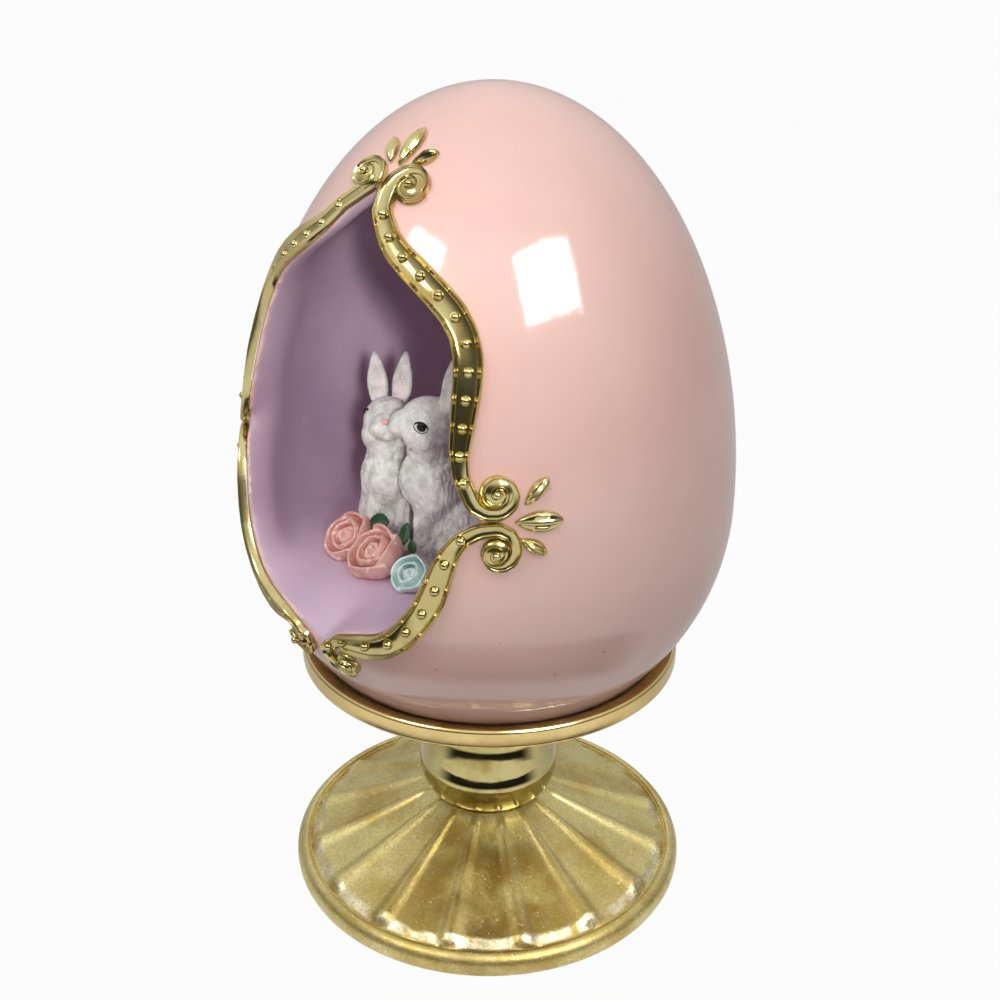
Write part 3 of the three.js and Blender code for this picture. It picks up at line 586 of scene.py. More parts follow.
gilt_pieces = []
for side, top, mirrored in (("right", TOP_RIGHT, False), ("left", TOP_LEFT, True)):
    upper = ("upper_band_" + side, "moulding_upper_" + side, UPPER_EDGE, UPPER_BEADS, top, SIDE_UPPER)
    gilt_pieces.append(moulding(*upper, *UPPER_SPAN, mirrored))
    lower = ("lower_band_" + side, "moulding_lower_" + side, LOWER_EDGE, LOWER_BEADS, SIDE_LOWER, BOTTOM)
    gilt_pieces.append(moulding(*lower, *LOWER_SPAN, mirrored))
for pattern in (bead, eye_ball):
    bpy.data.objects.remove(pattern)

# %% [markdown]
# ## The gilt leaves
# Three slim leaves fan out from each point of the window. Each starts as a ball with its poles along the
# leaf. The ball is pulled into a long drop, and two grooves are pressed along it before it is laid on the
# egg.

# %% The gilt leaves
LEAF_HEIGHT, LEAF_SEAT = 1.8 * MM, 0.2 * MM
LEAF_SWELL, LEAF_BLUNTNESS = 1.2, 0.65  # above 1 it is widest nearer its tip, below 1 its ends are blunt
LEAF_BACK = 0.7  # below 1 its back stays high towards the ends
LEAF_GROOVE, GROOVE_PLACE, GROOVE_WIDTH = 0.3, 0.38, 0.16  # shares of the leaf's height and half width
POLE_RING = 0.001  # stands in for a ring of no size at the ball's poles
TOP_LEAVES = {
    "middle": ((6, 57.9), (8.4, 66.4), 4.2 * MM),
    "right": ((11.5, 58.3), (21.6, 61.4), 2.9 * MM),
    "left": ((1.5, 58.1), (-5.4, 63.3), 2.9 * MM),
}
SIDE_LEAVES = {
    "upper": ((50.7, 12.2), (55.6, 15.6), 3.1 * MM),
    "middle": ((48.7, 10.1), (58.6, 10.1), 4.6 * MM),
    "lower": ((49.8, 8), (55.2, 5.9), 3.1 * MM),
}


def gilt_leaf(name, node, foot, tip, width, mirrored=False):
    """A leaf from its foot to its tip, each a longitude and a latitude."""
    leaf = settle(new_ball(28, 22, 1), name)
    around = degree_sizes((foot[1] + tip[1]) / 2)[0]
    along = degree_sizes(foot[1])[1]
    way = Vector(((tip[0] - foot[0]) * around, (tip[1] - foot[1]) * along))
    length = way.length
    way.normalize()
    for corner in leaf.data.vertices:
        side, up, pole = corner.co
        share = (pole + 1) / 2
        fullness = math.sin(math.pi * share**LEAF_SWELL) ** LEAF_BLUNTNESS if 0 < share < 1 else 0
        ring = max(math.hypot(side, up), POLE_RING)
        across = side / ring * width / 2 * fullness
        from_groove = (abs(side / ring) - GROOVE_PLACE) / GROOVE_WIDTH
        groove = LEAF_GROOVE * math.exp(-(from_groove**2)) * fullness
        height = LEAF_SEAT + LEAF_HEIGHT * fullness**LEAF_BACK * max(up / ring - groove, 0)
        x = way.x * length * share - way.y * across
        y = way.y * length * share + way.x * across
        corner.co = on_egg(*beside(foot, x, y), height)
    if mirrored:
        leaf.data.transform(MIRRORED)
    face_outwards(leaf)
    round_off(leaf, 60)
    take_place(leaf, "egg", node, "polished_gilt")
    return leaf


for where, shape in TOP_LEAVES.items():
    gilt_pieces.append(gilt_leaf("top_leaf_" + where, "leaf_top_" + where, *shape))
for where, shape in SIDE_LEAVES.items():
    gilt_pieces.append(gilt_leaf("right_leaf_" + where, "leaf_right_" + where, *shape))
    gilt_pieces.append(gilt_leaf("left_leaf_" + where, "leaf_left_" + where, *shape, mirrored=True))
print("gilt pieces", len(gilt_pieces))

# %% [markdown]
# ## The rabbits
# Two small cast rabbits sit cheek to cheek. Each is built up from balls, as a clay figure is from lumps,
# and an even remesh melts the lumps into one skin. Then the ears are hollowed, the mouth is pressed in, and
# the fur is raised with noise that is stretched along the way the hair lies.

# %% Lumps of a rabbit that faces the window
RABBIT_NECK = Vector((0, -1.5, 27))
# Each lump: centre, half sizes, and its share of the reach and rise, in millimetres
BODY_LUMPS = [
    ((0, 2.5, 8.6), (7.7, 8.8, 9.4), 0.1),
    ((0, -0.8, 16), (7, 6.6, 11), 0.75),
    ((0, -4.8, 17.6), (5, 4.6, 6.6), 0.8),
    ((0, -1.6, 25), (5.3, 5.4, 5.4), 0.95),
    ((3.3, -5.2, 8), (2.5, 3, 8.6), 0.25),
    ((-3.3, -5.2, 8), (2.5, 3, 8.6), 0.25),
    ((3.3, -7.2, 1.6), (2.5, 3.2, 2.2), 0),
    ((-3.3, -7.2, 1.6), (2.5, 3.2, 2.2), 0),
    ((5.2, 2.6, 6.4), (3, 6.2, 6), 0),
    ((-5.2, 2.6, 6.4), (3, 6.2, 6), 0),
    ((0, 10.8, 4), (3.4, 3.4, 3.4), 0),
]
HEAD_LUMPS = [
    ((0, -2.2, 30.6), (6, 7, 6.2)),
    ((0, -7.2, 29), (3.9, 4.2, 3.5)),
    ((1.7, -9, 28.4), (2.3, 2.2, 2)),
    ((-1.7, -9, 28.4), (2.3, 2.2, 2)),
    ((3.2, -3.2, 27.6), (3.1, 4.1, 3.5)),
    ((-3.2, -3.2, 27.6), (3.1, 4.1, 3.5)),
    ((0, -8.2, 26.7), (1.9, 2, 1.4)),
]
EAR_PLACE = Vector((3.0, 0.4, 40.8))
EAR_SIZE = (2.6, 1.4, 7.3)
EAR_SPLAY = 6
EAR_TAPER = 0.45  # how much narrower than a plain ball an ear is at its tip


def lump(place, sizes, taper=0):
    """A ball of clay: a sphere, narrowed upwards, that a matrix moves, turns and stretches into place."""
    ball = new_ball(28, 18, MM)
    for corner in ball.data.vertices:
        corner.co.x *= 1 - taper * max(corner.co.z, 0) / MM
    ball.data.transform(place @ Matrix.Diagonal((*sizes, 1)))
    return ball


def shifted(x, y, z):
    return Matrix.Translation(Vector((x, y, z)) * MM)


def on_floor(x, y, z=0):
    """A place in the egg, at this height over its floor."""
    return Matrix.Translation((x * MM, y * MM, FLOOR + z * MM))


def head_turn(rabbit):
    """Tips the head back about the neck, and moves it with the chest."""
    carried = shifted(RABBIT_NECK.x, RABBIT_NECK.y - rabbit["reach"], RABBIT_NECK.z + rabbit["rise"])
    return carried @ rotated(-rabbit["nod"], "X") @ shifted(*-RABBIT_NECK)


def ear_place(rabbit, side):
    root = shifted(side * EAR_PLACE.x, EAR_PLACE.y, EAR_PLACE.z)
    return root @ rotated(side * EAR_SPLAY, "Y") @ rotated(side * rabbit["ears_open"], "Z")


# %% [markdown]
# The hollow of an ear and the cleft under the nose are pressed in by moving corners in the head's own
# coordinates. The same measure gives the blush inside the ears, which is kept with the mesh as a colour.

# %% Model and paint a rabbit
RABBIT_GRAIN = 0.33 * MM
STROKE_DEPTH = 0.42
STROKE_WIDTH = 0.14  # in the noise's own scale
HAIR_ACROSS, HAIR_ALONG = 1.1, 0.28  # the noise's scale across the hair and along it
HAIR_WAVE, WAVE_SCALE = 0.5, 0.8
TUFT_DEPTH = 0.25
TUFT_ACROSS, TUFT_ALONG, TUFT_START = 0.45, 0.3, 4
EAR_HOLLOW = 0.85
EAR_HOLLOW_HALF = (1.75, 5.9)
EAR_FRONT = 0.3  # what lies further back in an ear isn't hollowed
CLEFT_WIDTH, CLEFT_DEPTH = 0.42, 0.75
CLEFT_TOP, CLEFT_FADE = 30.2, 0.6
CLEFT_BOTTOM, CLEFT_BACK = 26.6, -8.5
FACE_HEIGHT = 28  # above it the fur is short
FACE_BLEND = 5
SHORT_FUR = 0.35


def press(rabbit, piece):
    """Hollows the ears, presses in the mouth, cuts the fur's strokes, and gives the blush at each corner."""
    into_head = head_turn(rabbit).inverted()
    into_ears = [ear_place(rabbit, side).inverted() for side in (1, -1)]
    ear_half, ear_tall = EAR_HOLLOW_HALF
    turn_back = head_turn(rabbit).to_3x3()
    blush = []
    new_places = []
    for corner in piece.data.vertices:
        place = corner.co / MM
        in_head = into_head @ corner.co / MM
        moved = Vector((0, 0, 0))
        pink = 0.0
        for into_ear in into_ears:
            x, y, z = into_ear @ (in_head * MM) / MM
            half = ear_half * (1 - EAR_TAPER * max(z, 0) / EAR_SIZE[2])
            bowl = (1 - (x / half) ** 2) * (1 - (z / ear_tall) ** 2)
            if abs(x) < half and abs(z) < ear_tall and y < EAR_FRONT:
                inwards = into_ear.to_3x3().inverted() @ Vector((0, EAR_HOLLOW * bowl, 0))
                moved = turn_back @ inwards
                pink = bowl**0.5
        under_nose = max(0, min(1, (CLEFT_TOP - in_head.z) / CLEFT_FADE))
        cleft = math.exp(-((in_head.x / CLEFT_WIDTH) ** 2)) * under_nose
        if in_head.y < CLEFT_BACK and in_head.z > CLEFT_BOTTOM:
            moved = turn_back @ Vector((0, CLEFT_DEPTH * cleft, 0))
        along = place.z * HAIR_ALONG + HAIR_WAVE * math.sin(place.x * WAVE_SCALE)
        hair = noise.noise((place.x * HAIR_ACROSS, place.y * HAIR_ACROSS, along))
        stroke = math.exp(-((hair / STROKE_WIDTH) ** 2))
        along = place.z * TUFT_ALONG + TUFT_START
        tuft = noise.noise((place.x * TUFT_ACROSS, place.y * TUFT_ACROSS, along)) * TUFT_DEPTH
        on_face = SHORT_FUR + (1 - SHORT_FUR) * eased((FACE_HEIGHT - in_head.z) / FACE_BLEND)
        raised = (tuft - stroke * STROKE_DEPTH) * on_face
        new_places.append(corner.co + MM * (moved + corner.normal * raised))
        blush.append(pink)
    set_corners(piece, [tuple(p) for p in new_places])
    return blush


def rabbit_figure(name, rabbit):
    reach, rise = rabbit["reach"], rabbit["rise"]
    lumps = []
    for at, sizes, share in BODY_LUMPS:
        lumps.append(lump(shifted(at[0], at[1] - reach * share, at[2] + rise * share), sizes))
    for at, sizes in HEAD_LUMPS:
        lumps.append(lump(head_turn(rabbit) @ shifted(*at), sizes))
    for side in (1, -1):
        lumps.append(lump(head_turn(rabbit) @ ear_place(rabbit, side), EAR_SIZE, EAR_TAPER))
    figure = join(name, lumps)
    modify(figure, "REMESH", mode="VOXEL", voxel_size=RABBIT_GRAIN)
    modify(figure, "SMOOTH", factor=0.5, iterations=7)
    blush = press(rabbit, figure)
    modify(figure, "SMOOTH", factor=0.25, iterations=1)
    paint = figure.data.color_attributes.new("blush", "FLOAT_COLOR", "POINT")
    for i, pink in enumerate(blush):
        paint.data[i].color = (pink, pink, pink, 1)
    smooth(figure)
    return figure


# %% [markdown]
# Eyes, lids and nose are small pieces of the same casting with their own paint. They are set on the head as
# balls pressed flat and thin arcs, and joined to the figure as further material slots.

# %% Eyes, lids and nose
HEAD_MIDDLE = Vector((0, -2.2, 30.6))
EYE_SIZE = (0.55, 1.1, 1.0)
NOSE_SIZE = (1.2, 0.6, 0.75)
LID_STANDING = 0.38  # how far out of the head a lid stands
LID_HALF_WIDTH = 1.75
LID_HEIGHT, LID_BOW = 1.2, 1.3  # above 1 the bow has a narrower top
LID_START, LID_SWEEP = 4, 172
LID_ENDS, UPPER_LID, LOWER_LID = 0.05, 0.2, 0.06  # half thickness at the ends, and what the middles add
LID_STEPS, LID_SIDES = 16, 8


def eye_turn(eye, side):
    """Turns an eye's own X axis straight out of the head."""
    x, y, z = eye
    angle = math.atan2(y - HEAD_MIDDLE.y, side * x)
    return shifted(side * x, y, z) @ Matrix.Rotation(angle, 4, "Z")


def eyelid(place, side, thickness):
    """A thin dark line over the eye, or under it where side is -1, that is thickest in the middle."""
    rings = []
    for i in range(LID_STEPS + 1):
        share = i / LID_STEPS
        angle = math.radians(LID_START + LID_SWEEP * share)
        thick = LID_ENDS + thickness * math.sin(math.pi * share)
        ring = []
        for k in range(LID_SIDES):
            around = k / LID_SIDES * math.tau
            along = (LID_HALF_WIDTH + thick * math.cos(around)) * math.cos(angle)
            up = side * (LID_HEIGHT * math.sin(angle) ** LID_BOW + thick * math.cos(around))
            ring.append(place @ (Vector((LID_STANDING + thick * math.sin(around), along, up)) * MM))
        rings.append(ring)
    return drawn_bar("lid", rings)


def face_pieces(rabbit):
    head = head_turn(rabbit)
    dark = []
    for side in (1, -1):
        place = head @ eye_turn(rabbit["eye"], side)
        dark += [lump(place, EYE_SIZE), eyelid(place, 1, UPPER_LID), eyelid(place, -1, LOWER_LID)]
    return join("eyes", dark), lump(head @ shifted(*rabbit["nose"]), NOSE_SIZE)


RABBITS = {
    "rabbit_left": {
        "x": -15.2, "y": -19, "facing": 44, "nod": 26, "reach": 0, "rise": 0,
        "eye": (4.7, -4.5, 32.3), "nose": (0, -10.9, 29.8), "ears_open": 0,
    },
    "rabbit_right": {
        "x": 3.4, "y": -16.5, "facing": -46, "nod": 14, "reach": 3.6, "rise": 3.7,
        "eye": (5.65, -4.0, 31.2), "nose": (0, -10.8, 28.8), "ears_open": 45,
    },
}
figures = []
for node, rabbit in RABBITS.items():
    figure = rabbit_figure("cast_" + node, rabbit)
    eyes, nose = face_pieces(rabbit)
    for piece in (eyes, nose):
        smooth(piece)
    stood = on_floor(rabbit["x"], rabbit["y"]) @ rotated(rabbit["facing"], "Z")
    for piece in (figure, eyes, nose):
        piece.data.transform(stood)
    figures.append((figure, eyes, nose))
    print(node, len(figure.data.polygons), "faces")

# %% [markdown]
# ## The roses
# Two salmon roses and a blue-green one lie at the rabbits' feet, tipped towards the window. A rose is a
# small bud with rings of cupped petals. Each petal is a grid bent round the bud, flared at its edge and
# given a thickness. A remesh then melts them together as the casting has them.

# %% The roses
ROSE_TIP = 38
ROSE_GRAIN = 0.24 * MM
# Each ring of petals: count, reach, lowest and highest angle over the middle, and how far the edge flares
PETAL_RINGS = [
    (3, 0.40, -40, 58, 0.10),
    (4, 0.66, -50, 44, 0.16),
    (5, 0.93, -60, 28, 0.22),
]
RING_TURN = 37
PETAL_SPAN = 0.72  # above a half, neighbours overlap
PETAL_JUMBLE = 5.3  # sets how unlike its neighbours each petal is
CREST_JUMBLE, CREST_FALL, CREST_BEND = 9, 16, 2.2  # how the height of a petal's edge varies
PETAL_SWAY = 0.07
# Shares of a rose's radius
PETAL_THICKNESS, PETAL_TALLNESS, PETAL_LIFT = 0.13, 0.92, 0.12
ROSE_SEAT = 0.74
ROSE_BUD, ROSE_HEART = (0.1, 0.22, 0.6), (-0.25, 0.72, 0.42)  # middle's height, half width and half height
ROSES = {
    "pink_rose_left": {"x": -15.6, "y": -31.6, "radius": 5.5, "turn": 20},
    "pink_rose_right": {"x": -4.2, "y": -33.2, "radius": 5.8, "turn": 75},
    "blue_rose": {"x": 7.6, "y": -33, "radius": 4, "turn": 10},
}


def petal(rose, count, number, reach, low, high, flare, offset):
    sheet = new(bpy.ops.mesh.primitive_grid_add, x_subdivisions=12, y_subdivisions=9, size=2)
    span = math.radians(360 / count) * PETAL_SPAN
    middle_angle = math.radians(360 * number / count + offset)
    radius = rose["radius"] * MM
    jumble = math.sin(PETAL_JUMBLE * number + offset)
    for corner in sheet.data.vertices:
        side, up = corner.co.x, (corner.co.y + 1) / 2
        angle = middle_angle + side * span
        crest = high + CREST_JUMBLE * jumble - CREST_FALL * abs(side) ** CREST_BEND
        rise = math.radians(low + (crest - low) * up)
        out = radius * reach * (1 + flare * up**3 + PETAL_SWAY * side + PETAL_SWAY * jumble)
        corner.co = (
            out * math.cos(rise) * math.cos(angle),
            out * math.cos(rise) * math.sin(angle),
            out * PETAL_TALLNESS * math.sin(rise) + PETAL_LIFT * radius,
        )
    modify(sheet, "SOLIDIFY", thickness=PETAL_THICKNESS * radius, offset=0)
    return sheet


roses = {}
for node, rose in ROSES.items():
    radius = rose["radius"]
    pieces = []
    for height, half_width, half_height in (ROSE_BUD, ROSE_HEART):
        sizes = (half_width * radius, half_width * radius, half_height * radius)
        pieces.append(lump(shifted(0, 0, height * radius), sizes))
    for ring, (count, *shape) in enumerate(PETAL_RINGS):
        for number in range(count):
            pieces.append(petal(rose, count, number, *shape, rose["turn"] + RING_TURN * ring))
    flower = join("cast_" + node, pieces)
    modify(flower, "REMESH", mode="VOXEL", voxel_size=ROSE_GRAIN)
    modify(flower, "SMOOTH", factor=0.5, iterations=4)
    flower.data.transform(on_floor(rose["x"], rose["y"], ROSE_SEAT * radius) @ rotated(ROSE_TIP, "X"))
    smooth(flower)
    take_place(flower, "egg", node, "blue_petal" if node == "blue_rose" else "pink_petal")
    roses[node] = flower
    print(node, len(flower.data.polygons), "faces")

# %% [markdown]
# ## The green leaves
# Three dark leaves fill the gaps between roses and rabbits. Each is a grid narrowed to a point at both
# ends, folded along its midrib, toothed at the edge and thickened.

# %% The green leaves
ROSE_LEAVES = {
    "rose_leaf_left": {"at": (-10, -27.2, 9), "length": 5, "width": 4, "turn": 20, "lean": 10},
    "rose_leaf_middle": {"at": (-1.4, -27, 8.6), "length": 5.6, "width": 2.6, "turn": 40, "lean": 80},
    "rose_leaf_right": {"at": (2.4, -28.2, 7), "length": 3.4, "width": 1.9, "turn": 40, "lean": 100},
}
ROSE_LEAF_TILT = 55
ROSE_LEAF_THICKNESS = 0.5 * MM
LEAF_ENDS = 0.7  # below 1 its ends are blunter
TOOTH_DEPTH, TOOTH_SCALE = 0.12, 20
LEAF_FOLD, LEAF_DROOP = 0.35, 0.25
green_leaves = []
for node, shape in ROSE_LEAVES.items():
    leaf = new(bpy.ops.mesh.primitive_grid_add, x_subdivisions=24, y_subdivisions=10, size=2)
    for corner in leaf.data.vertices:
        along, across = corner.co.x, corner.co.y
        fullness = (1 - along**2) ** LEAF_ENDS * (1 + TOOTH_DEPTH * math.sin(TOOTH_SCALE * along))
        fold = LEAF_FOLD * abs(across) * fullness - LEAF_DROOP * along**2
        half = shape["width"] / 2 * fullness
        corner.co = Vector((along * shape["length"] / 2, across * half, fold)) * MM
    modify(leaf, "SOLIDIFY", thickness=ROSE_LEAF_THICKNESS, offset=0)
    modify(leaf, "SUBSURF", levels=1, render_levels=1)
    settle(leaf, "painted_" + node)
    stood = on_floor(*shape["at"]) @ rotated(shape["turn"], "Z") @ rotated(ROSE_LEAF_TILT, "X")
    leaf.data.transform(stood @ rotated(shape["lean"], "Z"))
    face_outwards(leaf)
    smooth(leaf)
    take_place(leaf, "egg", node, "leaf_green")
    green_leaves.append(leaf)
print("green leaves", len(green_leaves))

# %% [markdown]
# ## The stand
# Cup, stem and foot are round, so each is a profile that is spun about the middle, as on a lathe. A profile
# is a closed line of radius and height, so each piece stays a closed ring with a bore for the screw.

# %% Turn a profile
CORNER_SOFTNESS = 0.35
CORNER_STEPS = 4
CORNER_LIMIT = 0.45  # share of a short side that one corner may take


def turned(name, profile, steps):
    """Spins a closed line of (radius, height) in millimetres into a ring."""
    mesh = bpy.data.meshes.new(name)
    line = [(radius * MM, 0, height * MM) for radius, height in profile]
    mesh.from_pydata(line, [(i, (i + 1) % len(line)) for i in range(len(line))], [])
    piece = bpy.data.objects.new(name, mesh)
    bpy.context.scene.collection.objects.link(piece)
    edit_all(piece)
    bpy.ops.mesh.spin(steps=steps, angle=math.tau, center=(0, 0, 0), axis=(0, 0, 1))
    bpy.ops.object.mode_set(mode="OBJECT")
    face_outwards(piece)
    return settle(piece, name)


def rounded(corner_points):
    """A closed line with each corner replaced by a short curve."""
    line = []
    count = len(corner_points)
    for i in range(count):
        before, here, after = (Vector(corner_points[(i + k) % count]) for k in (-1, 0, 1))
        back, on = before - here, after - here
        arrive = here + back.normalized() * min(CORNER_SOFTNESS, back.length * CORNER_LIMIT)
        leave = here + on.normalized() * min(CORNER_SOFTNESS, on.length * CORNER_LIMIT)
        for k in range(CORNER_STEPS + 1):
            t = k / CORNER_STEPS
            line.append(tuple(arrive * (1 - t) ** 2 + here * (2 * t * (1 - t)) + leave * t**2))
    return line


# %% [markdown]
# The cup follows the egg with a little clearance, and has a polished band round its rim. Its underside is a
# hollow curve down to the stem. The stem is a full knop with a neck above it.

# %% The cup and the stem
SCREW_BORE = 3
CUP_BOTTOM = 42.7
BOWL_TOP = 65.4
SEAT = 50.7
BOWL_RADIUS, BOWL_DEPTH = 59.2, 60.2
BOWL_STEPS, UNDERSIDE_STEPS, STEM_STEPS = 24, 40, 48
UNDERSIDE_CURVE = [
    (16.75, CUP_BOTTOM), (17.1, 44.4), (18, 46.2), (20.2, 48), (24.6, 50.2),
    (31, 53.3), (38.6, 57.9), (44.6, 61.7),
]
RIM_CORNERS = [
    UNDERSIDE_CURVE[-1], (46.6, 62.2), (47.2, 62.9), (47.2, 66.4),
    (46.6, 67.1), (45.9, 67.0), (43.25, 66.2),
]
STEM_FOOT, STEM_TOP = 20.3, 42.65
STEM_CURVE = [
    (14.4, STEM_FOOT), (16.6, 22.6), (17.8, 25.6), (18.2, 29.2),
    (17.8, 32.6), (17.0, 36), (16.5, 39.6), (16.7, STEM_TOP),
]


def bowl_radius(height):
    """The inside radius of the cup at a height."""
    below = EQUATOR / MM - height
    return BOWL_RADIUS * math.sqrt(max(0, 1 - (below / BOWL_DEPTH) ** 2))


underside = [tuple(spline(UNDERSIDE_CURVE, i / UNDERSIDE_STEPS)) for i in range(UNDERSIDE_STEPS + 1)]
rim = rounded(RIM_CORNERS)[CORNER_STEPS + 1:-1]
bowl = []
for i in range(BOWL_STEPS + 1):
    height = BOWL_TOP + (SEAT - BOWL_TOP) * i / BOWL_STEPS
    bowl.append((bowl_radius(height), height))
cup_line = underside + rim + bowl + [(SCREW_BORE, SEAT), (SCREW_BORE, CUP_BOTTOM)]
cup = turned("turned_cup", cup_line, 192)
round_off(cup, 38)

stem_line = [tuple(spline(STEM_CURVE, i / STEM_STEPS)) for i in range(STEM_STEPS + 1)]
stem = turned("turned_stem", stem_line + [(SCREW_BORE, STEM_TOP), (SCREW_BORE, STEM_FOOT)], 160)
round_off(stem, 38)
take_place(cup, "stand", "cup", "polished_gilt")
take_place(stem, "stand", "stem", "polished_gilt")
print("cup and stem", len(cup.data.polygons), len(stem.data.polygons), "faces")

# %% [markdown]
# The foot is a low cone with sixteen hollow panels between fine ridges, each ended by a bevel, on a rounded
# rim. It is turned plain first. Then each corner of the cone is raised or lowered by how near it lies to a
# ridge.

# %% The foot
PANEL_RADIUS = 47.6
FOOT_TOP_RADIUS = 14.2
FOOT_TOP = 20.2
FOOT_RIM_HEIGHT = 6
CONE_BEND = 1.12
CONE_POINTS, CONE_STEP = 96, 0.35
RIM_SIDE = [
    (49.4, 5.9), (50.4, 5.3), (51.1, 4.4), (51.45, 3.4),
    (51.5, 2.4), (51.35, 1.2), (51.0, 0.4), (50.5, 0),
]
RIM_TOP = [(47.75, 4.9), (47.9, 5.2), (48.1, 5.1), (48.3, 5.2), (48.6, 5.8), (49.0, 5.95)]
FELT_RADIUS, FELT_DEPTH = 44.4, 1.3
FOOT_BORE = SCREW_BORE + 2
FLUTE_COUNT, FLUTE_STEPS = 16, 20
FLUTE_TURN = 10.25


def cone_height(radius):
    share = max(0, (PANEL_RADIUS - radius) / (PANEL_RADIUS - FOOT_TOP_RADIUS))
    return FOOT_RIM_HEIGHT + (FOOT_TOP - FOOT_RIM_HEIGHT) * min(1, share) ** CONE_BEND


cone = []
for i in range(CONE_POINTS):
    radius = PANEL_RADIUS - CONE_STEP * i
    cone.append((radius, cone_height(radius)))
under = [(FELT_RADIUS, 0), (FELT_RADIUS, FELT_DEPTH), (FOOT_BORE, FELT_DEPTH), (FOOT_BORE, FOOT_TOP)]
foot = turned("fluted_foot", cone[::-1] + RIM_TOP + RIM_SIDE + under, FLUTE_COUNT * FLUTE_STEPS)
foot.data.transform(rotated(FLUTE_TURN, "Z"))
print("plain foot", len(foot.data.polygons), "faces")

# %% Flute the foot
RIDGE_HEIGHT = 1.15
RIDGE_FOOT, RIDGE_CREST = 0.58, 0.95  # shares of the way from a panel's middle to its ridge
RIDGE_START = 4
RIDGE_END = 1.1
PANEL_HOLLOW = 0.3
BEVEL_LENGTH, BEVEL_DROP = 2.3, 1.1
NOTCH_DEPTH, NOTCH_SHARPNESS = 0.6, 24
CONE_LOWEST = 5  # only the cone has corners above this and within the panels' radius
CONE_MARGIN = 0.05
RAGGEDNESS = 0.3
RAG_WAVES = ((11, 0), (29, 40))  # how often each goes round, and where it starts, in degrees


def from_edge(setback):
    """0 further in than this from the panels' ragged edge, and 1 at the edge."""
    return np.clip((reach + ragged - (PANEL_RADIUS - setback)) / setback, 0, 1)


places = corners(foot) / MM
reach = np.hypot(places[:, 0], places[:, 1])
angle = np.degrees(np.arctan2(places[:, 0], -places[:, 1]))
panel = ((angle - FLUTE_TURN) / (360 / FLUTE_COUNT)) % 1
near_ridge = np.abs(2 * panel - 1)
on_panels = (reach > FOOT_TOP_RADIUS) & (reach < PANEL_RADIUS + CONE_MARGIN)
on_cone = on_panels & (places[:, 2] > CONE_LOWEST)
growing = np.clip((reach - FOOT_TOP_RADIUS) / RIDGE_START, 0, 1) * np.sqrt(reach / PANEL_RADIUS)
ragged = sum(RAGGEDNESS * np.sin(np.radians(angle * often + start)) for often, start in RAG_WAVES)
end = from_edge(BEVEL_LENGTH)
climb = np.clip((near_ridge - RIDGE_FOOT) / (RIDGE_CREST - RIDGE_FOOT), 0, 1)
ridge = RIDGE_HEIGHT * climb**2 * (3 - 2 * climb) * (1 - from_edge(RIDGE_END))
dip = PANEL_HOLLOW * (1 - near_ridge**2) * (1 - end)
notch = NOTCH_DEPTH * near_ridge**NOTCH_SHARPNESS * end
places[on_cone, 2] += ((ridge - dip) * growing - BEVEL_DROP * end - notch)[on_cone]
set_corners(foot, places * MM)
round_off(foot, 30)
take_place(foot, "stand", "foot", "satin_gilt")
print("foot", len(foot.data.polygons), "faces")

# %% [markdown]
# ## Paint as Python
# A finish is a small graph of shader nodes. One class wraps a socket, so that sums and products of values
# can be written as plain Python, and another adds any other node from its type, its settings and its
# sockets.

# %% Paint as Python
class Wire:
    """One value in a finish. Operators on it add Math nodes."""

    def __init__(self, finish, socket):
        self.finish = finish
        self.socket = socket

    def operate(self, operation, *values):
        sockets = dict(enumerate(values))
        return self.finish.node("ShaderNodeMath", {"operation": operation}, sockets)["Value"]

    def __add__(self, other):
        return self.operate("ADD", self, other)

    def __sub__(self, other):
        return self.operate("SUBTRACT", self, other)

    def __rsub__(self, other):
        return self.operate("SUBTRACT", other, self)

    def __mul__(self, other):
        return self.operate("MULTIPLY", self, other)

    def __truediv__(self, other):
        return self.operate("DIVIDE", self, other)

    def __pow__(self, other):
        return self.operate("POWER", self, other)

    __radd__ = __add__
    __rmul__ = __mul__

    def over(self, edge):
        return self.operate("GREATER_THAN", self, edge)

    def between(self, low, high):
        """0 below low, 1 above high, and a smooth step between."""
        sockets = {"Value": self, "From Min": low, "From Max": high}
        steps = {"interpolation_type": "SMOOTHSTEP"}
        return self.finish.node("ShaderNodeMapRange", steps, sockets)["Result"]

    def within(self, start, end):
        """1 from start to end. Each is a pair of values between which it fades in or out."""
        return self.between(*start) * (1 - self.between(*end))


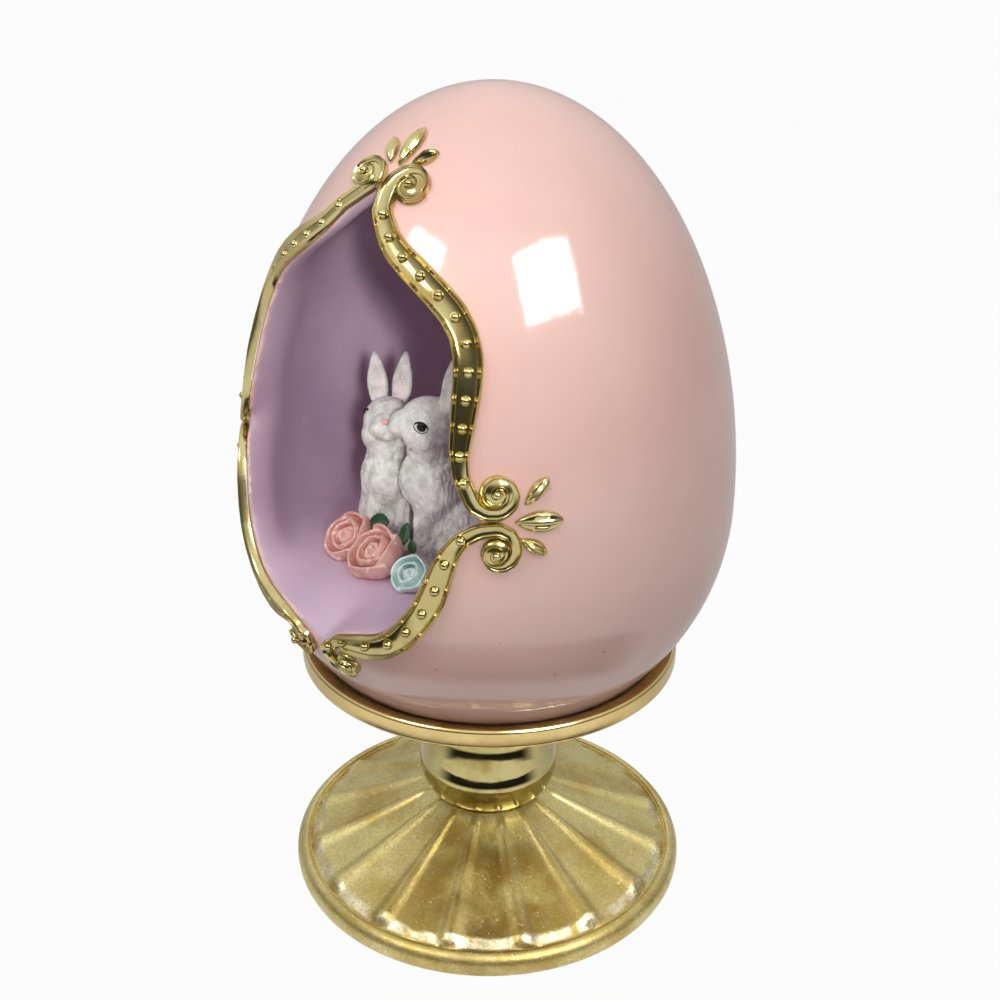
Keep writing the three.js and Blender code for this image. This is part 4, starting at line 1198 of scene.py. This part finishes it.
class Finish:
    """A material that is painted by Python."""

    def __init__(self, name, **shader):
        self.material = bpy.data.materials.new(name)
        self.material.use_nodes = True
        self.tree = self.material.node_tree
        self.shader = self.tree.nodes["Principled BSDF"]
        self.set(**shader)

    def node(self, kind, settings=None, sockets=None):
        made = self.tree.nodes.new(kind)
        for key, value in (settings or {}).items():
            setattr(made, key, value)
        inputs = {socket.name: socket for socket in made.inputs if socket.enabled}
        for key, value in (sockets or {}).items():
            self.feed(made.inputs[key] if isinstance(key, int) else inputs[key], value)
        return {socket.name: Wire(self, socket) for socket in made.outputs if socket.enabled}

    def feed(self, socket, value):
        if isinstance(value, Wire):
            self.tree.links.new(value.socket, socket)
        else:
            socket.default_value = value

    def set(self, **shader):
        for key, value in shader.items():
            self.feed(self.shader.inputs[key.replace("_", " ").title().replace("Ior", "IOR")], value)

    def show(self, shader):
        """Makes a shader the surface of this finish."""
        self.feed(self.tree.nodes["Material Output"].inputs["Surface"], shader)

    def place(self):
        return self.node("ShaderNodeTexCoord")["Object"]

    def axes(self):
        split = self.node("ShaderNodeSeparateXYZ", None, {"Vector": self.place()})
        return split["X"], split["Y"], split["Z"]

    def grain(self, scale, detail=2.0, roughness=0.5):
        sockets = {"Vector": self.place(), "Scale": scale, "Detail": detail, "Roughness": roughness}
        return self.node("ShaderNodeTexNoise", None, sockets)["Fac"]

    def cells(self, scale):
        sockets = {"Vector": self.place(), "Scale": scale}
        return self.node("ShaderNodeTexVoronoi", {"feature": "F1"}, sockets)

    def one_of(self, colour):
        """The red part of a colour, as a plain value."""
        return self.node("ShaderNodeSeparateColor", None, {"Color": colour})["Red"]

    def mix(self, share, first, second):
        sockets = {"Factor": share, "A": first, "B": second}
        return self.node("ShaderNodeMix", {"data_type": "RGBA"}, sockets)["Result"]

    def bump(self, height, depth, strength=1.0):
        sockets = {"Height": height, "Distance": depth, "Strength": strength}
        return self.node("ShaderNodeBump", None, sockets)["Normal"]


def tone(red, green, blue):
    """A colour as it looks on a screen, 0 to 255, in the renderer's own scale."""
    linear = []
    for level in (red, green, blue):
        share = level / 255
        linear.append(share / 12.92 if level <= 10 else ((share + 0.055) / 1.055) ** 2.4)
    return (*linear, 1)


def coat(piece, *finishes):
    piece.data.materials.clear()
    for finish in finishes:
        piece.data.materials.append(finish.material)


# %% [markdown]
# ## Enamel on the egg
# The skin is glossy pink enamel with a few dark specks. Inside, the paint is a flat lavender. The shader
# works out how deep below the skin a point lies, and fades from one paint to the other just inside the
# window.

# %% Enamel
SKIN_FADE = (0.978, 0.996)  # shares of the way out to the skin over which lavender turns into pink
MATT, GLOSSY = 0.6, 0.08
SPECK_SCALE = 170
SPECK_EDGE = (0.03, 0.055)  # how far from the middle of its cell a speck fades
SPECK_CELLS = (0.83, 0.84)  # cells whose own value lies above this have a speck
SPECK_STRENGTH = 0.75
RIPPLE_DEPTH = 0.07 * MM
enamel = Finish("pink_enamel", ior=1.6)
x, y, z = enamel.axes()
up = z - EQUATOR
tall = EGG_DEPTH + up.over(0) * (EGG_CROWN - EGG_DEPTH)
outness = ((x * x + y * y) / EGG_RADIUS**2 + (up / tall) ** 2) ** 0.5
outside = outness.between(*SKIN_FADE)
cloud = enamel.grain(28, 3).between(0.35, 0.65)
pink = enamel.mix(cloud, tone(233, 194, 183), tone(229, 187, 177))
shade = enamel.grain(45, 3).between(0.3, 0.7)
lavender = enamel.mix(shade, tone(214, 187, 204), tone(203, 174, 196))
paint = enamel.mix(outside, lavender, pink)
dots = enamel.cells(SPECK_SCALE)
on_dot = 1 - dots["Distance"].between(*SPECK_EDGE)
speck = on_dot * enamel.one_of(dots["Color"]).between(*SPECK_CELLS)
paint = enamel.mix(speck * SPECK_STRENGTH, paint, tone(105, 78, 82))
enamel.set(base_color=paint, roughness=MATT - outside * (MATT - GLOSSY))
ripple = enamel.grain(240, 1) + enamel.grain(700, 1) * 0.3
enamel.set(normal=enamel.bump(ripple, RIPPLE_DEPTH, 0.5))
coat(shell, enamel)
print("enamel", len(enamel.tree.nodes), "nodes")

# %% [markdown]
# ## Gilding
# The mouldings and the cup are polished, the stem is as bright as a mirror, and the foot is satin with
# glitter in it. All are metal with a warm, pale gold. The gold is browner in patches, most of all at the
# front right, and a pale highlight is painted along the edge of the foot's panels and round the rim of the
# cup. One function makes all three golds, and its flakes, which each lean their own way, are left out of
# the polished ones.

# %% Gilding
# The gold is browner in patches, most of all round this spot at the front right
BROWN_SPOT = (23 * MM, -24 * MM)
BROWN_FADE = (8 * MM, 26 * MM)
BROWN_LEAST, BROWN_MORE = 0.2, 0.55
# Distances from the axis, and heights, between which the painted highlight fades in and out
FOOT_EDGE = ((44.6 * MM, 45.6 * MM), (46.8 * MM, 47.6 * MM))
CUP_RIM = (46.2 * MM, 46.8 * MM)
CUP_RIM_HEIGHTS = ((61 * MM, 62 * MM), (68 * MM, 69 * MM))
# How strongly the painted highlight shows on the foot's edge and on the cup's rim
FOOT_HIGHLIGHT, RIM_HIGHLIGHT = 0.8, 0.7
FLAKE_SCALE = 3300
GLINTS = (0.988, 0.997)  # flakes whose own value lies above this glint
GOLD_DEPTH = 0.04 * MM
# Each gold: light, dark and brown tone, roughness, scale of the patches, and 1 where it has flakes
GOLDS = {
    "polished_gold": (tone(214, 200, 142), tone(196, 178, 112), tone(160, 128, 62), 0.14, 90, 0.0),
    "mirror_gold": (tone(210, 196, 136), tone(192, 174, 108), tone(156, 124, 58), 0.05, 90, 0.0),
    "satin_gold": (tone(226, 212, 148), tone(206, 184, 110), tone(146, 110, 38), 0.27, 60, 1.0),
}


def gilding(name, light, dark, brown, rough, patch, flakes):
    gold = Finish(name, metallic=1.0)
    x, y, z = gold.axes()
    worn = gold.grain(patch, 4, 0.6).between(0.42, 0.68)
    colour = gold.mix(worn, light, dark)
    # Browner in patches, most of all at the front right
    from_spot = ((x - BROWN_SPOT[0]) ** 2 + (y - BROWN_SPOT[1]) ** 2) ** 0.5
    brown_share = BROWN_LEAST + BROWN_MORE * (1 - from_spot.between(*BROWN_FADE))
    browner = gold.grain(patch * 1.2, 3).between(0.42, 0.62) * brown_share
    colour = gold.mix(browner, colour, brown)
    reach = (x * x + y * y) ** 0.5
    # A pale highlight is painted along the edge of the foot's panels and round the cup's rim
    foot_edge = reach.within(*FOOT_EDGE) * flakes
    cup_rim = reach.between(*CUP_RIM) * z.within(*CUP_RIM_HEIGHTS)
    painted_highlight = foot_edge * FOOT_HIGHLIGHT * gold.grain(260, 2).between(0.36, 0.56)
    colour = gold.mix(painted_highlight, colour, tone(248, 238, 200))
    colour = gold.mix(cup_rim * RIM_HIGHLIGHT, colour, tone(250, 218, 148))
    sanded = gold.grain(1400, 2).between(0.4, 0.62)
    colour = gold.mix(sanded * 0.22 * flakes, colour, brown)
    flake = gold.one_of(gold.cells(FLAKE_SCALE)["Color"])
    glint = flake.between(*GLINTS) * 0.7 * flakes
    gold.set(base_color=gold.mix(glint, colour, tone(255, 250, 215)))
    gold.set(roughness=rough + worn * 0.06 + flake * 0.16 * flakes - painted_highlight * 0.06)
    wobble = gold.grain(310, 2) + (flake * 0.5 + gold.grain(1100, 2) * 0.8) * flakes
    gold.set(normal=gold.bump(wobble, GOLD_DEPTH, 0.35 + 0.5 * flakes))
    return gold


polished, mirror, satin = (gilding(name, *recipe) for name, recipe in GOLDS.items())
for piece in gilt_pieces + [cup]:
    coat(piece, polished)
coat(stem, mirror)
coat(foot, satin)
print("golds", list(GOLDS))

# %% [markdown]
# ## Paint on the figures
# The rabbits are white with a grey wash in patches, glitter over it, and a blush in the ears. The roses
# have pearl over salmon or blue-green. Fine hairs are a bump, too small to model.

# %% Paint on the figures
HAIR_STRETCH = (1, 1, 0.3)
HAIR_DEPTH = 0.14 * MM
SPARKS = (0.92, 0.95)  # cells whose own value lies above this sparkle


def mottled(name, first, second, scale, detail=2.0, **shader):
    """A plain paint that wanders between two tones."""
    paint = Finish(name, **shader)
    paint.set(base_color=paint.mix(paint.grain(scale, detail), first, second))
    return paint


fur = Finish("white_fur", roughness=0.55)
strand = fur.node("ShaderNodeMapping", None, {"Vector": fur.place(), "Scale": HAIR_STRETCH})["Vector"]
hair = fur.node("ShaderNodeTexNoise", None, {"Vector": strand, "Scale": 1800, "Detail": 2})["Fac"]
wash = fur.grain(420, 3).between(0.35, 0.7)
white = fur.mix(wash, tone(240, 239, 233), tone(208, 206, 200))
pink_share = fur.one_of(fur.node("ShaderNodeVertexColor", {"layer_name": "blush"})["Color"])
white = fur.mix(pink_share * 0.25, white, tone(236, 190, 184))
glitter = fur.one_of(fur.cells(3000)["Color"])
shine = glitter.between(*SPARKS)
fur.set(base_color=fur.mix(shine * 0.8, white, tone(252, 252, 252)), roughness=0.6 - shine * 0.35)
fur.set(normal=fur.bump(hair + glitter * 0.3, HAIR_DEPTH, 0.55))

black = mottled("eye_black", tone(8, 7, 8), tone(18, 14, 15), 500, roughness=0.22)
nose_pink = mottled("nose_pink", tone(236, 186, 174), tone(226, 176, 164), 600, roughness=0.4)
for (figure, eyes, nose), node in zip(figures, RABBITS):
    coat(figure, fur)
    coat(eyes, black)
    coat(nose, nose_pink)
    join(figure.name, [figure, eyes, nose])
    take_place(figure, "egg", node, "white_glitter")
print("rabbits' finishes", fur.material.name, black.material.name, nose_pink.material.name)

# %% Paint on the roses
PETAL_DEPTH = 0.08 * MM


def petal_paint(name, light, deep):
    paint = Finish(name, roughness=0.35, coat_weight=0.35, coat_roughness=0.2)
    wash = paint.grain(330, 3).between(0.35, 0.7)
    pearl = paint.one_of(paint.cells(1500)["Color"]).between(*SPARKS)
    colour = paint.mix(wash, light, deep)
    paint.set(base_color=paint.mix(pearl * 0.8, colour, tone(255, 240, 236)))
    paint.set(roughness=0.42 - pearl * 0.25)
    paint.set(normal=paint.bump(paint.grain(900, 2), PETAL_DEPTH, 0.4))
    return paint


salmon = petal_paint("salmon_petal", tone(238, 186, 174), tone(224, 160, 147))
blue_green = petal_paint("blue_green_petal", tone(232, 250, 246), tone(202, 237, 230))
for node, flower in roses.items():
    coat(flower, blue_green if node == "blue_rose" else salmon)

green = Finish("leaf_green", roughness=0.45)
shade = green.grain(500, 3).between(0.3, 0.7)
green.set(base_color=green.mix(shade, tone(36, 84, 40), tone(22, 52, 28)))
for leaf in green_leaves:
    coat(leaf, green)
print("roses' finishes", salmon.material.name, blue_green.material.name, green.material.name)

# %% [markdown]
# ## Felt and screw
# The felt disc below and the screw inside are rarely seen, and their solids are as good as a finer piece.
# They keep their solids and get felt and steel.

# %% Felt and screw
FELT_NAP = 0.3 * MM
felt = mottled("dark_felt", tone(38, 36, 38), tone(66, 62, 64), 900, 4, roughness=0.95)
felt.set(normal=felt.bump(felt.grain(1600, 3), FELT_NAP, 0.8))
steel = mottled("screw_steel", tone(178, 178, 180), tone(148, 148, 152), 300, metallic=1.0)
steel.set(roughness=0.25 + steel.grain(700) * 0.2)
coat(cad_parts["base_felt"], felt)
coat(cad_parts["stand_screw"], steel)
print("finishes", len(bpy.data.materials))

# %% [markdown]
# ## Floor and light
# The object stands on a pale floor in front of white. A white that lit the object would wash it out, so
# floor and room are white only where they are seen, directly or in a mirror, and duller as sources of
# light.

# %% Floor
def seen_directly(finish):
    """1 for what the camera, a mirror or glass sees, 0 for light that only brightens other things."""
    path = finish.node("ShaderNodeLightPath")
    mirrored = path["Is Glossy Ray"].operate("MAXIMUM", path["Is Glossy Ray"], path["Is Transmission Ray"])
    return mirrored.operate("MAXIMUM", mirrored, path["Is Camera Ray"])


GROUND_SIZE = 60
GROUND_GLOW = 0.96  # share of plain white in what is seen of the floor
floor = new(bpy.ops.mesh.primitive_plane_add, size=GROUND_SIZE)
floor.name = "floor"
ground = Finish("pale_floor", roughness=0.9, base_color=tone(170, 169, 167))
glow = ground.node("ShaderNodeEmission", None, {"Color": (1, 1, 1, 1), "Strength": 1.0})["Emission"]
matt = Wire(ground, ground.shader.outputs["BSDF"])
both = {0: seen_directly(ground) * GROUND_GLOW, 1: matt, 2: glow}
ground.show(ground.node("ShaderNodeMixShader", None, both)["Shader"])
coat(floor, ground)
print("floor", GROUND_SIZE, "m wide")

# %% World
world = bpy.data.worlds.new("white_room")
bpy.context.scene.world = world
world.use_nodes = True


class Sky(Finish):
    """The world's nodes, written in the same way."""

    def __init__(self, tree):
        self.tree = tree


ROOM_LOW, ROOM_HIGH = 0.12, 0.6
ROOM_FADE = (-0.2, 0.9)
sky = Sky(world.node_tree)
backdrop = sky.tree.nodes["Background"]
backdrop.inputs["Color"].default_value = (1, 1, 1, 1)
way = sky.node("ShaderNodeSeparateXYZ", None, {"Vector": sky.node("ShaderNodeTexCoord")["Generated"]})
room = ROOM_LOW + way["Z"].between(*ROOM_FADE) * (ROOM_HIGH - ROOM_LOW)
direct = seen_directly(sky)
sky.feed(backdrop.inputs["Strength"], room + direct * (1 - room))
print("room", ROOM_LOW, "to", ROOM_HIGH)

# %% [markdown]
# Soft boxes light the object from above, from the right and through the window. Two narrow spots beside the
# camera reach the scene inside. No lamp shows in reflections, because the gold gets things of its own to
# reflect.

# %% Lamps
AIM = Vector((0, 0, 0.14))
# Each soft box: bearing from the window, height over the horizon, distance, width, height and power
SOFT_BOXES = {
    "top_box": (60, 75, 1.2, 0.9, 0.9, 1.62),
    "right_box": (77, 40, 1.0, 0.62, 0.42, 1.85),
    "front_box": (-2, 46, 1.0, 0.55, 0.4, 2.3),
}
# Each spot: where it aims, its power and its cone's angle
SPOTS = {
    "window_lamp": ((-0.034, -0.03, 0.158), 19, 9.5),
    "face_lamp": ((-0.009, -0.024, 0.126), 16, 3.4),
}
SPOT_PLACE = (52, 17, 0.8)  # bearing from the window, height over the horizon and distance
SPOT_RADIUS = 0.05


def towards(azimuth, elevation, distance):
    """A point seen from the egg at this bearing from the window and height over the horizon."""
    turn, rise = math.radians(azimuth), math.radians(elevation)
    level = math.cos(rise)
    return AIM + distance * Vector((level * math.sin(turn), -level * math.cos(turn), math.sin(rise)))


def turn_to(thing, aim):
    thing.rotation_euler = (aim - thing.location).to_track_quat("-Z", "Y").to_euler()


def lamp(name, kind, place, aim, power, **settings):
    """A lamp that reflections don't show."""
    made = new(bpy.ops.object.light_add, type=kind, location=place)
    made.name = name
    made.visible_glossy = False
    made.data.energy = power
    for key, value in settings.items():
        setattr(made.data, key, value)
    turn_to(made, aim)


for name, (*place, width, height, power) in SOFT_BOXES.items():
    lamp(name, "AREA", towards(*place), AIM, power, shape="RECTANGLE", size=width, size_y=height)
for name, (aim, power, angle) in SPOTS.items():
    soft = {"spot_size": math.radians(angle), "spot_blend": 1.0, "shadow_soft_size": SPOT_RADIUS}
    lamp(name, "SPOT", towards(*SPOT_PLACE), Vector(aim), power, **soft)
print("lamps", list(SOFT_BOXES) + list(SPOTS))

# %% [markdown]
# Polished gold shows little but what stands round it. So a tent that only reflections see stands round the
# object, darker near the camera. Two bright panes in it give the two bright patches on the egg.

# %% The tent and its bright panes
TENT_RADIUS = 2.0
TENT_LOW, TENT_RISE, TENT_BEHIND, TENT_DARK = 0.18, 0.8, 0.3, 0.8
CAMERA_TURN = 44.0


def only_mirrored(thing):
    """Keeps a piece of the stage out of everything but reflections."""
    thing.visible_camera = False
    thing.visible_diffuse = False
    thing.visible_shadow = False
    thing.visible_transmission = False


def glowing(name, strength_of):
    """A finish that only gives off light; strength_of works out how much from the finish."""
    finish = Finish(name)
    light = finish.node("ShaderNodeEmission", None, {"Strength": strength_of(finish)})["Emission"]
    finish.show(light)
    return finish


def camera_side(x, y):
    """How far a place lies from the axis on the camera's side."""
    turn = math.radians(CAMERA_TURN)
    return x * math.sin(turn) - y * math.cos(turn)


def tent_light(finish):
    x, y, z = finish.axes()
    up = z / TENT_RADIUS
    to_camera = camera_side(x, y) / TENT_RADIUS
    dark = to_camera.between(0.3, 0.85) * (1 - up.between(0.3, 0.6))
    behind = (0 - to_camera).between(0.1, 0.9) * TENT_BEHIND
    cloth = TENT_LOW + behind + up.between(0.15, 0.95) * (TENT_RISE - behind)
    return cloth * (1 - dark * TENT_DARK)


tent = settle(new_ball(64, 32, TENT_RADIUS), "tent")
coat(tent, glowing("tent_cloth", tent_light))
only_mirrored(tent)


def bright_pane(name, azimuth, elevation, distance, width, height, strength):
    place = towards(azimuth, elevation, distance)
    pane = new(bpy.ops.mesh.primitive_plane_add, size=1, location=place)
    pane.name = name
    pane.scale = (width, height, 1)
    turn_to(pane, AIM)
    coat(pane, glowing(name, lambda finish: strength))
    only_mirrored(pane)


bright_pane("right_pane", 78, 40, 1.0, 0.5, 0.36, 12.0)
bright_pane("front_pane", -4, 44, 1.0, 0.36, 0.2, 9.0)
print("tent", TENT_RADIUS, "m in radius, with two panes")

# %% [markdown]
# The stem mirrors the table more than the room. A table that only reflections see is pale near the object
# and dim far out, and has a dark ring on the camera's side, which draws the two dark crescents on the stem.

# %% A table that only reflections see
TABLE_RADIUS, TABLE_HEIGHT = 0.97 * TENT_RADIUS, 0.5 * MM
TABLE_NEAR, TABLE_FAR, TABLE_BEHIND = 0.85, 0.24, 0.24
TABLE_SHADE = 0.6  # share of the near table's light that is left away from the camera
TABLE_FADE = (0.4, 1.8)
# The dark ring, in metres from the axis: where it begins, and where it ends
RING_STARTS, RING_ENDS = (0.066, 0.084), (0.122, 0.134)
RING_DARK = 0.98


def table_light(finish):
    x, y, _ = finish.axes()
    away = (x * x + y * y) ** 0.5
    to_camera = camera_side(x, y) / (away + MM)
    near = TABLE_NEAR * (TABLE_SHADE + to_camera.between(-0.3, 0.7) * (1 - TABLE_SHADE))
    far = TABLE_FAR + (0 - to_camera).between(0.1, 0.9) * TABLE_BEHIND
    ring = away.within(RING_STARTS, RING_ENDS) * to_camera.between(0.1, 0.6)
    return (near + away.between(*TABLE_FADE) * (far - near)) * (1 - ring * RING_DARK)


disc = {"vertices": 64, "radius": TABLE_RADIUS, "fill_type": "NGON", "location": (0, 0, TABLE_HEIGHT)}
table = settle(new(bpy.ops.mesh.primitive_circle_add, **disc), "table")
coat(table, glowing("table_cloth", table_light))
only_mirrored(table)
print("table", TABLE_RADIUS, "m in radius")

# %% [markdown]
# ## Camera
# The camera stands where the photograph was taken from: to the right of the window and a little above it.

# %% Camera
CAMERA_PLACE = (0.19915, -0.20622, 0.22827)
CAMERA_PITCH, CAMERA_ROLL = 66.284, 0.568
LENS_LENGTH, FILM_WIDTH, LENS_SHIFT = 46.30, 36, 0.00914
lens = bpy.data.cameras.new("camera")
lens.lens = LENS_LENGTH
lens.sensor_width = FILM_WIDTH
lens.shift_x = LENS_SHIFT
lens.clip_start = 0.01
camera = bpy.data.objects.new("camera", lens)
bpy.context.scene.collection.objects.link(camera)
aimed = rotated(CAMERA_TURN, "Z") @ rotated(CAMERA_PITCH, "X")
camera.matrix_world = Matrix.Translation(CAMERA_PLACE) @ aimed @ rotated(CAMERA_ROLL, "Z")
bpy.context.scene.camera = camera
bpy.context.scene.view_settings.view_transform = "Standard"
print("camera at", CAMERA_PLACE)
